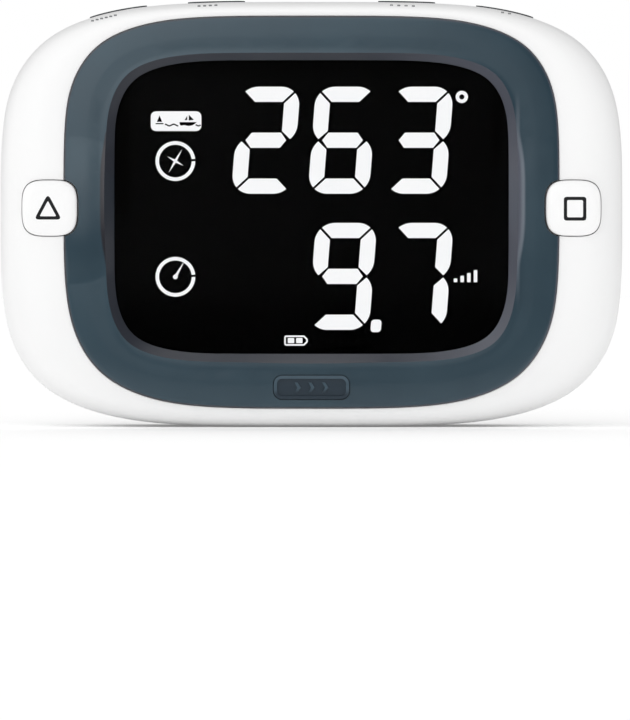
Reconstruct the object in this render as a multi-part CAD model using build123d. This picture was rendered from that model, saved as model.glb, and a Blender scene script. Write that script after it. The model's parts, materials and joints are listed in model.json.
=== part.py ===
from build123d import *
from math import cos, pi, radians, sin
import os

# Waterproof sailing speed and heading display: two moulded case halves round a segment
# display, with press keys, a cell compartment at the back and a pad of threaded inserts.
#
# Millimetres. X is to the right, Z is up and the front looks along -Y.
# "Height" is the distance in front of the parting plane of the case, so y = -height, and
# places behind that plane have negative heights. Pieces are drawn about the middle of the
# case and moved at the end, so that the origin is the middle of the insert pattern.

# Case
body_width = 150.0
body_height = 102.4
body_power = 3.9
wall = 2.6
front_depth = 14.7
front_straight = 3.0
front_power = 2.5
rear_depth = 22.0
rear_straight = 13.0
rear_power = 2.3
rear_side_inset = 13.0
rear_end_inset = 9.0
cavity_power = 1.2
front_sections = 9
rear_sections = 8
cavity_sections = 5
shortest_section = 0.5

# Bezel, with its widest level a little above the middle of the case
bezel_width = 118.8
bezel_up = 44.2
bezel_down = 49.9
bezel_level = 3.35
bezel_power_up = 4.26
bezel_power_down = 3.93
bezel_edge_rise = 0.25
bezel_crest_rise = 1.45
bezel_crown_power = 2.2
bezel_sections = 6
land_side = 2.1
land_end = 0.9
lip_thickness = 0.4
bevel_width = 1.7
side_swell = 1.5
side_swell_span = 24.0
bottom_swell = 0.9
bottom_swell_span = 21.0

# Display opening of the bezel
view_width = 94.7
view_up = 33.5
view_down = 37.0
view_level = 3.5
view_power_up = 5.34
view_power_down = 5.89

# Window and display stack
window_width = 101.8
window_bottom = 37.1
window_top = 40.5
window_radius = 9.0
window_thickness = 1.2
window_drop = 0.7
seal_thickness = 0.4
seal_inset = 0.3
floor_thickness = 2.0
display_width = 89.0
display_bottom = 34.2
display_top = 35.6
glass_thickness = 1.1
glass_ledge = 2.7
guide_thickness = 2.5
guide_margin = 1.6
window_to_glass = 0.5
frame_wall = 1.3
frame_plate = 1.0
frame_radius = 2.0
frame_drop = 0.2
strip_width = 2.1
strip_end_margin = 3.0
led_size = 1.3
led_length = 3.2
led_spacing = 34.0
post_radius = 1.2
post_spread = 0.3

# Main board
board_height = 2.0
board_thickness = 1.6
board_margin = 1.8
board_screw_x = 54.0
board_screw_z = 20.0
board_screw_radius = 1.0
board_screw_head = 2.1
board_screw_head_height = 1.3
board_screw_reach = 5.0
board_drive_length = 2.4
board_drive_width = 0.5
board_drive_depth = 0.6
board_boss_radius = 2.6
board_notch_gap = 0.4

# What the main board carries on its rear
processor_size = 12.0
processor_thickness = 1.4
processor_x = -30.0
processor_z = 5.0
memory_width = 9.0
memory_height = 6.0
memory_thickness = 1.2
memory_z = -8.0
compass_size = 4.0
compass_thickness = 1.0
compass_x = 24.0
compass_z = 6.0
regulator_width = 6.0
regulator_height = 5.0
regulator_thickness = 1.5
regulator_x = 34.0
coil_size = 7.0
coil_thickness = 2.8
coil_x = 44.0
power_z = -24.0
crystal_width = 8.0
crystal_height = 3.2
crystal_thickness = 1.2
crystal_x = -46.0
crystal_z = -6.0
passive_width = 2.0
passive_height = 1.2
passive_thickness = 0.8
passive_pitch = 4.0
passive_count = 4
left_passive_x = -44.0
left_passive_z = -14.0
right_passive_x = 18.0
right_passive_z = -3.0
antenna_size = 25.0
antenna_thickness = 4.0
antenna_z = 25.5
antenna_patch_size = 20.0
antenna_patch_radius = 1.0
antenna_patch_rise = 0.2
antenna_pin_x = 1.5
antenna_pin_z = 27.0
antenna_pin_radius = 0.9
antenna_pin_rise = 0.5
shield_size = 17.0
shield_x = -42.0
shield_z = 22.0
shield_height = 2.6
shield_radius = 1.2
shield_wall = 0.3
shield_hole_radius = 0.7
shield_hole_pitch = 4.0
buzzer_radius = 6.5
buzzer_height = 3.0
buzzer_x = 44.0
buzzer_z = 8.0
buzzer_hole_radius = 1.2
buzzer_hole_depth = 0.8

# Side buttons and start key
button_width = 13.2
button_height = 13.3
button_power = 3.4
button_overlap = 3.2
button_level = 1.5
button_rise = 1.5
button_crown_inset = 3.0
button_crown_rise = 0.9
button_crown_power = 2.0
button_sections = 5
button_stem_radius = 2.5
start_width = 18.1
start_height = 5.7
start_radius = 2.0
start_level = -41.5
start_ridge = 0.8
start_ridge_rise = 0.35
start_stem_radius = 1.8
start_flange_margin = 0.6
start_flange_thickness = 0.8
key_travel = 0.6
pocket_depth = 0.8
key_boss_wall = 1.5
key_boss_end = 6.0
stem_clearance = 0.05
ring_radius = 0.5
ring_height = 7.6
clip_thickness = 0.6
clip_margin = 0.8

# Push switches under every key
switch_size = 6.0
switch_height = 2.3
plunger_radius = 1.7
plunger_show = 0.6
plunger_length = 1.6
plunger_room = 0.2

# Top keys
top_key_inner_x = 23.05
top_key_outer_x = 46.8
top_key_width = 13.8
top_key_depth = 8.6
top_key_radius = 2.4
top_key_centre = -7.2
top_key_proud = 0.5
top_key_flange_margin = 1.2
top_key_flange = 1.0
top_key_stem_radius = 2.2
top_board_level = 40.8
top_board_thickness = 1.0
top_board_inner_x = 15.0
top_board_outer_x = 55.0
top_board_depth = 9.6
rib_thickness = 2.6
rib_slot_depth = 1.2
rib_above = 0.9
rib_below = 2.0
rib_slot_reach = 9.0
ribbon_width = 10.0
ribbon_thickness = 0.3
ribbon_bend = 2.5
socket_height = 2.0
socket_depth = 4.0
socket_margin = 1.0

# Case screws and gasket
corner_screw_inset_x = 12.5
corner_screw_inset_z = 21.2
top_screw_inset = 7.4
bottom_screw_x = 46.0
bottom_screw_inset = 9.2
screw_boss_radius = 3.6
screw_radius = 1.45
screw_head_radius = 2.75
screw_head_height = 2.2
screw_seat = -7.0
screw_tube_radius = 4.6
screw_insert_radius = 2.1
screw_insert_length = 5.0
screw_insert_room = 2.0
gasket_width = 1.1
gasket_depth = 1.4

# Cells, their well and its door
cell_radius = 7.25
cell_length = 50.5
cell_nub_radius = 2.75
cell_nub_length = 1.2
cell_edge = 0.6
cell_spacing = 15.0
cell_level = -23.5
cell_clearance = 0.15
well_end_room = 3.3
well_side_room = 0.45
well_wall = 1.6
well_radius = 1.5
door_half_width = 41.5
door_half_height = 17.3
door_radius = 6.0
door_thickness = 2.2
door_land = 2.4
door_rib = 1.0
door_rib_wall = 1.2
door_gasket_width = 1.0
door_gasket_depth = 1.2
door_gasket_inset = 0.5
door_edge = 0.6
door_screw_x = 36.5
door_screw_radius = 2.0
door_screw_head_radius = 4.6
door_screw_head_height = 2.4
door_screw_sink = 1.0
door_screw_length = 8.1
door_screw_chamfer = 0.4
door_screw_groove = 0.5
door_clip_mouth = 2.0
door_hole_room = 0.6
coin_slot_width = 1.6
coin_slot_depth = 1.2
door_insert_radius = 2.9
door_insert_length = 6.0
door_insert_room = 1.0
door_boss_radius = 4.2
door_boss_end = 2.0
contact_thickness = 0.4
contact_width = 8.0
contact_reach = 9.0
contact_drop = 0.6
contact_tab_width = 3.0

# Mounting pad with threaded inserts
mount_spacing_x = 38.05
mount_spacing_z = 30.17
mount_level = 16.0
mount_pad_margin_x = 8.0
mount_pad_margin_z = 5.4
mount_pad_radius = 7.0
mount_pad_height = 1.5
mount_insert_radius = 2.8
mount_insert_bore = 1.65
mount_insert_length = 8.0
mount_insert_room = 1.0
mount_boss_radius = 4.4
mount_boss_end = 2.5

# Vent plug
vent_x = -50.0
vent_level = 12.0
vent_radius = 4.0
vent_stem_radius = 2.4
vent_stem_end = 1.4
vent_rise = 0.8
vent_boss_wall = 1.0
vent_hole_radius = 0.6
vent_slot_width = 1.0

# Clearances
part_gap = 0.15
bezel_gap = 0.12
notch_gap = 0.35
button_gap = 0.22
fit_gap = 0.05
stack_gap = 0.25

# How far a cut runs past the face that it opens
over = 1.0

# Levels that follow from the sizes above
window_face = front_depth - window_drop
window_back = window_face - window_thickness
tray_floor = window_back - seal_thickness
floor_back = tray_floor - floor_thickness
bezel_edge = front_depth + bezel_edge_rise
bezel_crest = bezel_edge + bezel_crest_rise
glass_face = window_back - window_to_glass
rear_glass_face = glass_face - glass_thickness
guide_face = rear_glass_face - glass_thickness
guide_back = guide_face - guide_thickness
board_back = board_height - board_thickness
pocket_floor = tray_floor - pocket_depth
button_base = pocket_floor + key_travel + part_gap
button_edge = front_depth + button_rise - button_crown_rise
button_x = bezel_width / 2 + button_width / 2 - button_overlap
start_base = tray_floor + key_travel + fit_gap
stem_tip = board_height + switch_height + plunger_show
board_half_width = body_width / 2 - wall - board_margin
board_half_height = body_height / 2 - wall - board_margin
display_middle = (display_top - display_bottom) / 2
display_height = display_top + display_bottom
frame_half_width = display_width / 2 + part_gap + frame_wall
frame_top = display_top + part_gap + frame_wall
frame_bottom = display_bottom + part_gap + frame_wall
guide_half_width = display_width / 2 - guide_margin
guide_top = display_top - glass_ledge - guide_margin
guide_bottom = display_bottom - guide_margin
strip_level = display_top - glass_ledge / 2
recess_floor = -(rear_depth - door_thickness)
well_half_length = cell_length / 2 + well_end_room
well_half_height = cell_spacing / 2 + cell_radius + well_side_room
cell_height = recess_floor + cell_clearance + cell_radius
well_floor = cell_height + cell_radius + cell_clearance
mount_face = -(rear_depth + mount_pad_height)
mount_pad_width = mount_spacing_x + 2 * mount_pad_margin_x
mount_pad_length = mount_spacing_z + 2 * mount_pad_margin_z
door_screw_seat = -(rear_depth - door_screw_sink)
door_insert_face = recess_floor + clip_thickness + 2 * part_gap
top_switch_face = top_board_level + switch_height
top_plunger_face = top_switch_face + plunger_show

case_screw_places = [
    (side * (body_width / 2 - corner_screw_inset_x), end * (body_height / 2 - corner_screw_inset_z))
    for side in (-1, 1)
    for end in (-1, 1)
]
case_screw_places += [(0, body_height / 2 - top_screw_inset)]
case_screw_places += [(side * bottom_screw_x, bottom_screw_inset - body_height / 2) for side in (-1, 1)]
board_screw_places = [(a * board_screw_x, b * board_screw_z) for a in (-1, 1) for b in (-1, 1)]
mount_places = [
    (a * mount_spacing_x / 2, mount_level + b * mount_spacing_z / 2) for a in (-1, 1) for b in (-1, 1)
]
top_key_places = [-top_key_outer_x, -top_key_inner_x, top_key_inner_x, top_key_outer_x]
door_screw_places = {"left": -door_screw_x, "right": door_screw_x}
button_places = {"pin": -button_x, "boat": button_x}


# ---- Forms that many pieces share ----

def blend(start, end, share):
    return start + (end - start) * share


def block(left, right, bottom, top, low, high):
    """Box between two heights."""
    centre = Pos((left + right) / 2, -(low + high) / 2, (bottom + top) / 2)
    return centre * Box(right - left, high - low, top - bottom)


def post(x, z, radius, low, high):
    """Round bar or bore from front to rear."""
    return Pos(x, -(low + high) / 2, z) * Rot(90, 0, 0) * Cylinder(radius, high - low)


def tube(x, z, outer, inner, low, high):
    return post(x, z, outer, low, high) - post(x, z, inner, low, high)


def slab(sketch, low, high):
    """Sketch drawn as seen from the front, made solid between two heights."""
    return extrude(Plane.XZ.offset(low) * sketch, high - low)


def rounded(width, height, radius, x=0.0, z=0.0):
    return Pos(x, z) * RectangleRounded(width, height, radius)


def upright(sketch, bottom, top):
    """Sketch drawn as seen from above, made solid between two levels."""
    return extrude(Plane.XY.offset(bottom) * sketch, top - bottom)


def arc_point(angle, half_width, half_height, power):
    """Point of a superellipse at a polar angle in its own stretched square."""
    along, across = cos(angle), sin(angle)
    reach = (abs(along) ** power + abs(across) ** power) ** (-1 / power)
    return half_width * reach * along, half_height * reach * across


def oval(half_width, up, down, level, power_up, power_down, height, x=0.0, shape=None):
    """Closed superellipse of four splines. "shape" may move its points outwards."""
    steps = 8
    turns = [(0, 0, 1), (-1, 0, 0), (0, 0, -1), (1, 0, 0), (0, 0, 1)]
    edges = []
    for quarter in range(4):
        half_height, power = (up, power_up) if quarter < 2 else (down, power_down)
        points = []
        for step in range(steps + 1):
            angle = (quarter + step / steps) * pi / 2
            px, pz = arc_point(angle, half_width, half_height, power)
            if shape:
                px, pz = shape(px, pz)
            points.append((x + px, -height, level + pz))
        shares = [step / steps for step in range(steps + 1)]
        ends = [turns[quarter], turns[quarter + 1]]
        edges.append(Edge.make_spline(points, tangents=ends, parameters=shares))
    return Wire(edges)


def prism(outline, low, high):
    """Outline, a function of height, taken straight from one height to another."""
    return extrude(Face(outline(low)), high - low, dir=(0, -1, 0))


def crown_inset(share, power):
    """How far in a crown has come, as a share, at a share of its height."""
    return 1 - (1 - min(max(share, 0), 1) ** power) ** (1 / power)


def crown_shares(power, count, last=90):
    """Shares of height that space the sections of a crown evenly."""
    return [sin(radians(last * k / count)) ** (2 / power) for k in range(count + 1)]


# ---- Outlines of the case, the bezel and the keys ----

def body_outline(height, inset=0.0):
    half_height = body_height / 2 - inset
    return oval(body_width / 2 - inset, half_height, half_height, 0, body_power, body_power, height)


def bezel_outline(height, gap=0.0):
    return oval(
        bezel_width / 2 + gap, bezel_up + gap, bezel_down + gap,
        bezel_level, bezel_power_up, bezel_power_down, height,
    )


def front_outline(height, inset=0.0):
    """Front half: upright at the parting plane, then crowned to the land round the bezel."""
    share = crown_inset((height - front_straight) / (front_depth - front_straight), front_power)
    return oval(
        blend(body_width / 2, bezel_width / 2 + land_side, share) - inset,
        blend(body_height / 2, bezel_up + land_end, share) - inset,
        blend(body_height / 2, bezel_down + land_end, share) - inset,
        blend(0, bezel_level, share),
        blend(body_power, bezel_power_up, share),
        blend(body_power, bezel_power_down, share),
        height,
    )


def rear_outline(height, inset=0.0):
    """Rear half: upright, then crowned to the flat back."""
    share = crown_inset((-height - rear_straight) / (rear_depth - rear_straight), rear_power)
    half_height = body_height / 2 - rear_end_inset * share - inset
    half_width = body_width / 2 - rear_side_inset * share - inset
    return oval(half_width, half_height, half_height, 0, body_power, body_power, height)


def swell(distance, span, amount):
    share = min(abs(distance) / span, 1)
    return amount * (1 - share ** 2) ** 2


def swollen(x, z):
    """Moves the crest of the bevel out beside the buttons and above the start key."""
    side = swell(z, side_swell_span, side_swell)
    bottom = swell(x, bottom_swell_span, bottom_swell) if z < 0 else 0
    return x + (side if x > 0 else -side), z - bottom


def view_outline(height, grow=0.0, shape=None):
    return oval(
        view_width / 2 + grow, view_up + grow, view_down + grow,
        view_level, view_power_up, view_power_down, height, shape=shape,
    )


def button_outline(x, height, grow=0.0):
    half_height = button_height / 2 + grow
    return oval(
        button_width / 2 + grow, half_height, half_height,
        button_level, button_power, button_power, height, x,
    )


def window_shape(grow=0.0):
    height = window_top + window_bottom + 2 * grow
    middle = (window_top - window_bottom) / 2
    return rounded(window_width + 2 * grow, height, window_radius + grow, z=middle)


def frame_shape(grow=0.0):
    height = frame_top + frame_bottom + 2 * grow
    return rounded(2 * (frame_half_width + grow), height, frame_radius + grow, z=display_middle)


def start_shape(grow=0.0):
    return rounded(start_width + 2 * grow, start_height + 2 * grow, start_radius + grow, z=start_level)


def door_shape(grow=0.0):
    return rounded(
        2 * (door_half_width + grow), 2 * (door_half_height + grow), door_radius + grow, z=cell_level
    )


def well_shape(grow=0.0):
    return rounded(
        2 * (well_half_length + grow), 2 * (well_half_height + grow), well_radius + grow, z=cell_level
    )


# ---- Case ----

def crowned(outline, start, straight, end, power, count):
    """Upright stretch and the crown that closes it, for either half of the case."""
    low, high = sorted((start, straight))
    upright_part = prism(outline, low, high)
    tall = abs(end - straight)
    shares = [share for share in crown_shares(power, count) if share * tall > shortest_section]
    heights = [straight] + [blend(straight, end, share) for share in shares]
    return upright_part + Solid.make_loft([outline(height) for height in heights])


def front_solid():
    return crowned(front_outline, 0, front_straight, front_depth, front_power, front_sections)


def front_cavity():
    return crowned(lambda height: front_outline(height, wall), -over, front_straight, floor_back,
                   cavity_power, cavity_sections)


def rear_solid():
    return crowned(rear_outline, 0, -rear_straight, -rear_depth, rear_power, rear_sections)


def rear_cavity():
    return crowned(lambda height: rear_outline(height, wall), over, -rear_straight, wall - rear_depth,
                   cavity_power, cavity_sections)


def key_boss(x, z, stem_radius):
    return post(x, z, stem_radius + stem_clearance + key_boss_wall, key_boss_end, tray_floor)


def key_bore(x, z, stem_radius):
    return post(x, z, stem_radius + stem_clearance, key_boss_end - over, front_depth + over)


def front_case():
    """Shell whose cavity is drawn first, less the bosses that stand in it."""
    room = front_cavity()
    for x, z in case_screw_places:
        room -= post(x, z, screw_boss_radius, 0, tray_floor)
    for x, z in board_screw_places:
        room -= post(x, z, board_boss_radius, board_height, tray_floor)
    room -= key_boss(0, start_level, start_stem_radius)
    for x in button_places.values():
        room -= prism(lambda height: button_outline(x, height, wall), pocket_floor - floor_thickness,
                      tray_floor)
        room -= key_boss(x, button_level, button_stem_radius)
    case = front_solid() - room
    case -= prism(lambda height: bezel_outline(height, bezel_gap), tray_floor, front_depth + over)
    case -= slab(frame_shape(stack_gap), key_boss_end, tray_floor + over)
    for x in button_places.values():
        case -= prism(lambda height: button_outline(x, height, button_gap), pocket_floor, front_depth + over)
        case -= key_bore(x, button_level, button_stem_radius)
    case -= key_bore(0, start_level, start_stem_radius)
    for x, z in case_screw_places:
        case -= post(x, z, screw_insert_radius, -over, screw_insert_length + screw_insert_room)
    for x, z in board_screw_places:
        case -= post(x, z, board_screw_radius + fit_gap, board_height - over, floor_back - over)
    return case


def top_board_ribs():
    """Two slotted ribs for each board, drawn for the right and repeated on the left."""
    back = top_key_centre - top_board_depth / 2
    front = top_key_centre + top_board_depth / 2
    bottom = top_board_level - top_board_thickness
    ribs = []
    for side in (-1, 1):
        for x, outward in ((top_board_inner_x, -1), (top_board_outer_x, 1)):
            outer = x + outward * (rib_thickness - rib_slot_depth)
            inner = x - outward * rib_slot_depth
            left, right = sorted((side * outer, side * inner))
            rib = block(left, right, bottom - rib_below, top_board_level + rib_above, -rear_depth, front)
            stop = sorted((side * (x + outward * fit_gap), side * (x - outward * rib_slot_reach)))
            slot = block(*stop, bottom - fit_gap, top_board_level + fit_gap, back - fit_gap, front + over)
            ribs.append(rib - slot)
    return ribs


def key_opening(x):
    shape = Pos(x, -top_key_centre) * RectangleRounded(
        top_key_width + 2 * part_gap, top_key_depth + 2 * part_gap, top_key_radius + part_gap
    )
    return upright(shape, top_board_level + 2 * over, body_height / 2 + 2 * over)


def rear_case():
    """Shell whose cavity is drawn first, less the tubes, well and bosses that stand in it."""
    room = rear_cavity()
    for x, z in case_screw_places:
        room -= post(x, z, screw_tube_radius, -rear_depth, 2 * over)
    root = -rear_depth
    room -= slab(door_shape(part_gap + well_wall), root, recess_floor + door_land)
    room -= slab(well_shape(well_wall), root, well_floor + well_wall)
    for x in door_screw_places.values():
        boss_face = door_insert_face + door_insert_length + door_boss_end
        room -= post(x, cell_level, door_boss_radius, root, boss_face)
    for x, z in mount_places:
        room -= post(x, z, mount_boss_radius, root, mount_face + mount_insert_length + mount_boss_end)
    room -= post(vent_x, vent_level, vent_radius + vent_boss_wall, root, root + wall + vent_boss_wall)
    for rib in top_board_ribs():
        room -= rib
    case = rear_solid() - room
    pad = rounded(mount_pad_width, mount_pad_length, mount_pad_radius, z=mount_level)
    case += slab(pad, mount_face, -rear_depth + wall / 2)
    case -= slab(door_shape(part_gap), -rear_depth - over, recess_floor)
    case -= slab(well_shape(), -rear_depth, well_floor)
    for x in door_screw_places.values():
        clip_room = door_screw_radius + clip_margin + door_hole_room
        bore_end = door_insert_face + door_insert_length + door_insert_room
        case -= post(x, cell_level, clip_room, recess_floor - over, door_insert_face)
        case -= post(x, cell_level, door_insert_radius, recess_floor, bore_end)
    for x, z in case_screw_places:
        case -= post(x, z, screw_head_radius + part_gap, -rear_depth - over, screw_seat)
        case -= post(x, z, screw_radius + stack_gap, screw_seat - over, over)
    for x, z in mount_places:
        bore_end = mount_face + mount_insert_length + mount_insert_room
        case -= post(x, z, mount_insert_radius, mount_face - over, bore_end)
    for x in top_key_places:
        case -= key_opening(x)
    case -= post(vent_x, vent_level, vent_stem_radius, -rear_depth - over, 0)
    case -= gasket_ring(0)
    for x, z in contact_tab_places():
        half = contact_tab_width / 2 + part_gap
        left = x - contact_thickness / 2 - part_gap
        right = x + contact_thickness / 2 + part_gap
        case -= block(left, right, z - half, z + half, well_floor - over, 0)
    return case


def gasket_ring(gap):
    """Ring in the rear half's groove. "gap" is the room left at its sides."""
    start = (wall - gasket_width) / 2
    end = start + gasket_width
    ring = prism(lambda height: body_outline(height, start + gap), -gasket_depth, 0)
    return ring - prism(lambda height: body_outline(height, end - gap), -gasket_depth, 0)


def case_screw(x, z):
    screw = post(x, z, screw_head_radius, screw_seat - screw_head_height, screw_seat)
    screw += post(x, z, screw_radius, screw_seat, screw_insert_length + fit_gap)
    drive = slab(Pos(x, z) * RegularPolygon(screw_radius, 6), screw_seat - screw_head_height - over,
                 screw_seat - screw_head_height / 2)
    return screw - drive


def vent_plug():
    plug = post(vent_x, vent_level, vent_radius, -rear_depth - vent_rise, -rear_depth)
    stem_end = -rear_depth + wall + vent_stem_end
    plug += post(vent_x, vent_level, vent_stem_radius - fit_gap, -rear_depth, stem_end)
    outside = -rear_depth - vent_rise - over
    hole = post(vent_x, vent_level, vent_hole_radius, outside, -rear_depth + wall)
    reach = vent_radius + over
    half = vent_slot_width / 2
    slot = block(vent_x - reach, vent_x + reach, vent_level - half, vent_level + half,
                 outside, -rear_depth - vent_rise / 2)
    return plug - hole - slot


# ---- Bezel and start key ----

def bezel_dome():
    """Crowned ring surface that the bezel and the start key share, still without openings."""
    sections = []
    for share in crown_shares(bezel_crown_power, bezel_sections):
        inset = crown_inset(share, bezel_crown_power)
        sections.append(oval(
            blend(bezel_width / 2, view_width / 2 - bevel_width, inset),
            blend(bezel_up, view_up - bevel_width, inset),
            blend(bezel_down, view_down - bevel_width, inset),
            blend(bezel_level, view_level, inset),
            blend(bezel_power_up, view_power_up, inset),
            blend(bezel_power_down, view_power_down, inset),
            blend(bezel_edge, bezel_crest, share),
        ))
    return prism(bezel_outline, tray_floor, bezel_edge) + Solid.make_loft(sections)


def bezel_bevel():
    """Space over the window, which widens towards the crest of the bezel."""
    lip = window_face + lip_thickness
    above = 2 * over
    slope = (bezel_crest - lip + above) / (bezel_crest - lip)
    widest = view_outline(bezel_crest + above, bevel_width * slope, swollen)
    flare = Solid.make_loft([view_outline(lip), widest], ruled=True)
    return prism(view_outline, tray_floor - over, lip) + flare


def bezel(dome):
    ring = dome - bezel_bevel()
    ring -= slab(window_shape(part_gap), tray_floor - over, window_face)
    for x in button_places.values():
        ring -= prism(lambda height: button_outline(x, height, notch_gap), tray_floor - over,
                      bezel_crest + over)
    ring -= slab(start_shape(part_gap), tray_floor - over, bezel_crest + over)
    flange_room = start_shape(start_flange_margin + part_gap)
    ring -= slab(flange_room, tray_floor - over, start_base + start_flange_thickness + fit_gap)
    return ring


def stem(x, z, radius, top):
    """Plunger stem with its O-ring and clip grooves."""
    bar = post(x, z, radius, stem_tip, top)
    half = ring_radius + fit_gap
    bar -= tube(x, z, radius + over, radius - ring_radius * 2 + fit_gap, ring_height - half,
                ring_height + half)
    clip_top = key_boss_end - fit_gap
    bar -= tube(x, z, radius + over, radius - clip_margin, clip_top - clip_thickness, clip_top)
    return bar


def stem_ring(x, z, radius):
    middle = radius - ring_radius + fit_gap / 2
    return Pos(x, -ring_height, z) * Rot(90, 0, 0) * Torus(middle, ring_radius - fit_gap / 2)


def stem_clip(x, z, radius):
    clip_top = key_boss_end - fit_gap
    ring = tube(x, z, radius + clip_margin, radius - clip_margin, clip_top - clip_thickness, clip_top)
    mouth = block(x - radius / 2, x + radius / 2, z - radius - 2 * over, z, clip_top - over,
                  clip_top + over)
    return ring - mouth


def start_key(dome):
    body = slab(start_shape(), start_base, bezel_crest + over) & dome
    ring = slab(start_shape() - start_shape(-start_ridge), start_base, bezel_crest + over)
    body += ring & (Pos(0, -start_ridge_rise, 0) * dome)
    body += slab(start_shape(start_flange_margin), start_base, start_base + start_flange_thickness)
    return body + stem(0, start_level, start_stem_radius, start_base)


def side_button(x):
    """Squircle cap with a crowned face on a round stem."""
    sections = []
    for share in crown_shares(button_crown_power, button_sections):
        inset = crown_inset(share, button_crown_power) * button_crown_inset
        sections.append(button_outline(x, button_edge + share * button_crown_rise, -inset))
    cap = prism(lambda height: button_outline(x, height), button_base, button_edge)
    cap += Solid.make_loft(sections)
    return cap + stem(x, button_level, button_stem_radius, button_base)


def switch_housing(x, z):
    half = switch_size / 2
    top = board_height + switch_height
    housing = block(x - half, x + half, z - half, z + half, board_height, top)
    return housing - post(x, z, plunger_radius + fit_gap, top - plunger_length - plunger_room,
                          top + over)


def switch_plunger(x, z):
    return post(x, z, plunger_radius, stem_tip - plunger_length, stem_tip)


# ---- Top keys ----

def body_band(outer, inner, x):
    """Shell of the upright case wall between two insets, over one top key."""
    near = top_key_centre - top_key_depth
    far = top_key_centre + top_key_depth
    band = prism(lambda height: body_outline(height, outer), near, far)
    if inner is not None:
        band -= prism(lambda height: body_outline(height, inner), near, far)
    return band & block(x - top_key_width, x + top_key_width, 0, body_height, near, far)


def top_key(x):
    """Key pad that follows the top of the case, with a flange inside and a stem."""
    pad = RectangleRounded(top_key_width, top_key_depth, top_key_radius)
    grow = 2 * top_key_flange_margin
    flange_radius = top_key_radius + top_key_flange_margin
    flange = RectangleRounded(top_key_width + grow, top_key_depth + grow, flange_radius)
    place = Pos(x, -top_key_centre)
    flange_face = wall + part_gap
    flange_back = flange_face + top_key_flange
    top = body_height / 2 + 2 * over
    key = upright(place * pad, top_board_level, top) & body_band(-top_key_proud, flange_back, x)
    key += upright(place * flange, top_board_level, top) & body_band(flange_face, flange_back, x)
    bar = Pos(x, -top_key_centre, 0) * upright(Circle(top_key_stem_radius), top_plunger_face, top)
    return key + (bar & body_band(flange_face, None, x))


def top_switch(x):
    housing = upright(Pos(x, -top_key_centre) * Rectangle(switch_size, switch_size),
                      top_board_level, top_switch_face)
    bore = upright(Pos(x, -top_key_centre) * Circle(plunger_radius + fit_gap),
                   top_switch_face - plunger_length - plunger_room, top_switch_face + over)
    return housing - bore


def top_plunger(x):
    return upright(Pos(x, -top_key_centre) * Circle(plunger_radius),
                   top_plunger_face - plunger_length, top_plunger_face)


def top_switch_board(side):
    left, right = sorted((side * top_board_inner_x, side * top_board_outer_x))
    half = top_board_depth / 2
    return block(left, right, top_board_level - top_board_thickness, top_board_level,
                 top_key_centre - half, top_key_centre + half)


def ribbon(side):
    """Flat cable from its socket on the main board up to a top switch board."""
    x = side * (top_key_inner_x + top_key_outer_x) / 2
    level = ribbon_level()
    start = -board_back + socket_height / 2
    turn = -top_key_centre
    corners = [(start, level), (turn, level), (turn, top_board_level - top_board_thickness)]
    path = FilletPolyline(*corners, radius=ribbon_bend)
    strip = trace(path, ribbon_thickness)
    return Pos(x, 0, 0) * extrude(Plane.YZ * strip, ribbon_width / 2, both=True)


def ribbon_level():
    return top_board_level - top_board_thickness - 2 * ribbon_bend


def ribbon_socket(side):
    x = side * (top_key_inner_x + top_key_outer_x) / 2
    half = ribbon_width / 2
    level = ribbon_level()
    reach = half + socket_margin
    housing = block(x - reach, x + reach, level - socket_depth / 2, level + socket_depth / 2,
                    board_back - socket_height, board_back)
    slot = (ribbon_thickness + fit_gap) / 2
    return housing - block(x - half - fit_gap, x + half + fit_gap, level - slot, level + slot,
                           board_back - socket_height - over, board_back - socket_height / 2)


# ---- Display ----

def display_window():
    return slab(window_shape(), window_back, window_face)


def window_seal():
    ring = window_shape(-seal_inset) - frame_shape(stack_gap + part_gap)
    return slab(ring, tray_floor, window_back)


def display_plate(width, bottom, top, low, high):
    return block(-width / 2, width / 2, -bottom, top, low, high)


def display_frame():
    front = window_back - frame_drop
    frame = slab(frame_shape(), board_height, front)
    glass_room = display_plate(display_width + 2 * part_gap, display_bottom + part_gap,
                               display_top + part_gap, guide_face, front + over)
    guide_room = display_plate(2 * (guide_half_width + part_gap), guide_bottom + part_gap,
                               guide_top + part_gap, guide_back, guide_face + over)
    below = display_plate(2 * (guide_half_width + part_gap), guide_bottom + part_gap,
                          guide_top + part_gap, board_height - over, guide_back - frame_plate)
    half_strip = strip_width / 2 + fit_gap
    strip_room = block(-strip_half() - part_gap, strip_half() + part_gap, strip_level - half_strip,
                       strip_level + half_strip, board_height - over, guide_face + over)
    frame -= glass_room + guide_room + below + strip_room
    for x, z in led_places():
        half = led_length / 2 + part_gap
        reach = led_size / 2 + part_gap
        frame -= block(x - reach, x + reach, z - half, z + half, guide_back, guide_face + over)
    for x, z in frame_post_places():
        frame += post(x, z, post_radius, board_back, board_height + over)
    return frame


def strip_half():
    return display_width / 2 - strip_end_margin


def frame_post_places():
    x = guide_half_width + (frame_half_width - guide_half_width) / 2
    z = display_height * post_spread
    return [(a * x, display_middle + b * z) for a in (-1, 1) for b in (-1, 1)]


def led_places():
    x = guide_half_width + part_gap + led_size / 2
    return [(a * x, display_middle + b * led_spacing / 2) for a in (-1, 1) for b in (-1, 1)]


def backlight_led(x, z):
    half = led_size / 2
    return block(x - half, x + half, z - led_length / 2, z + led_length / 2, guide_back,
                 guide_back + led_size)


# ---- Main board and what it carries ----

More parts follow.
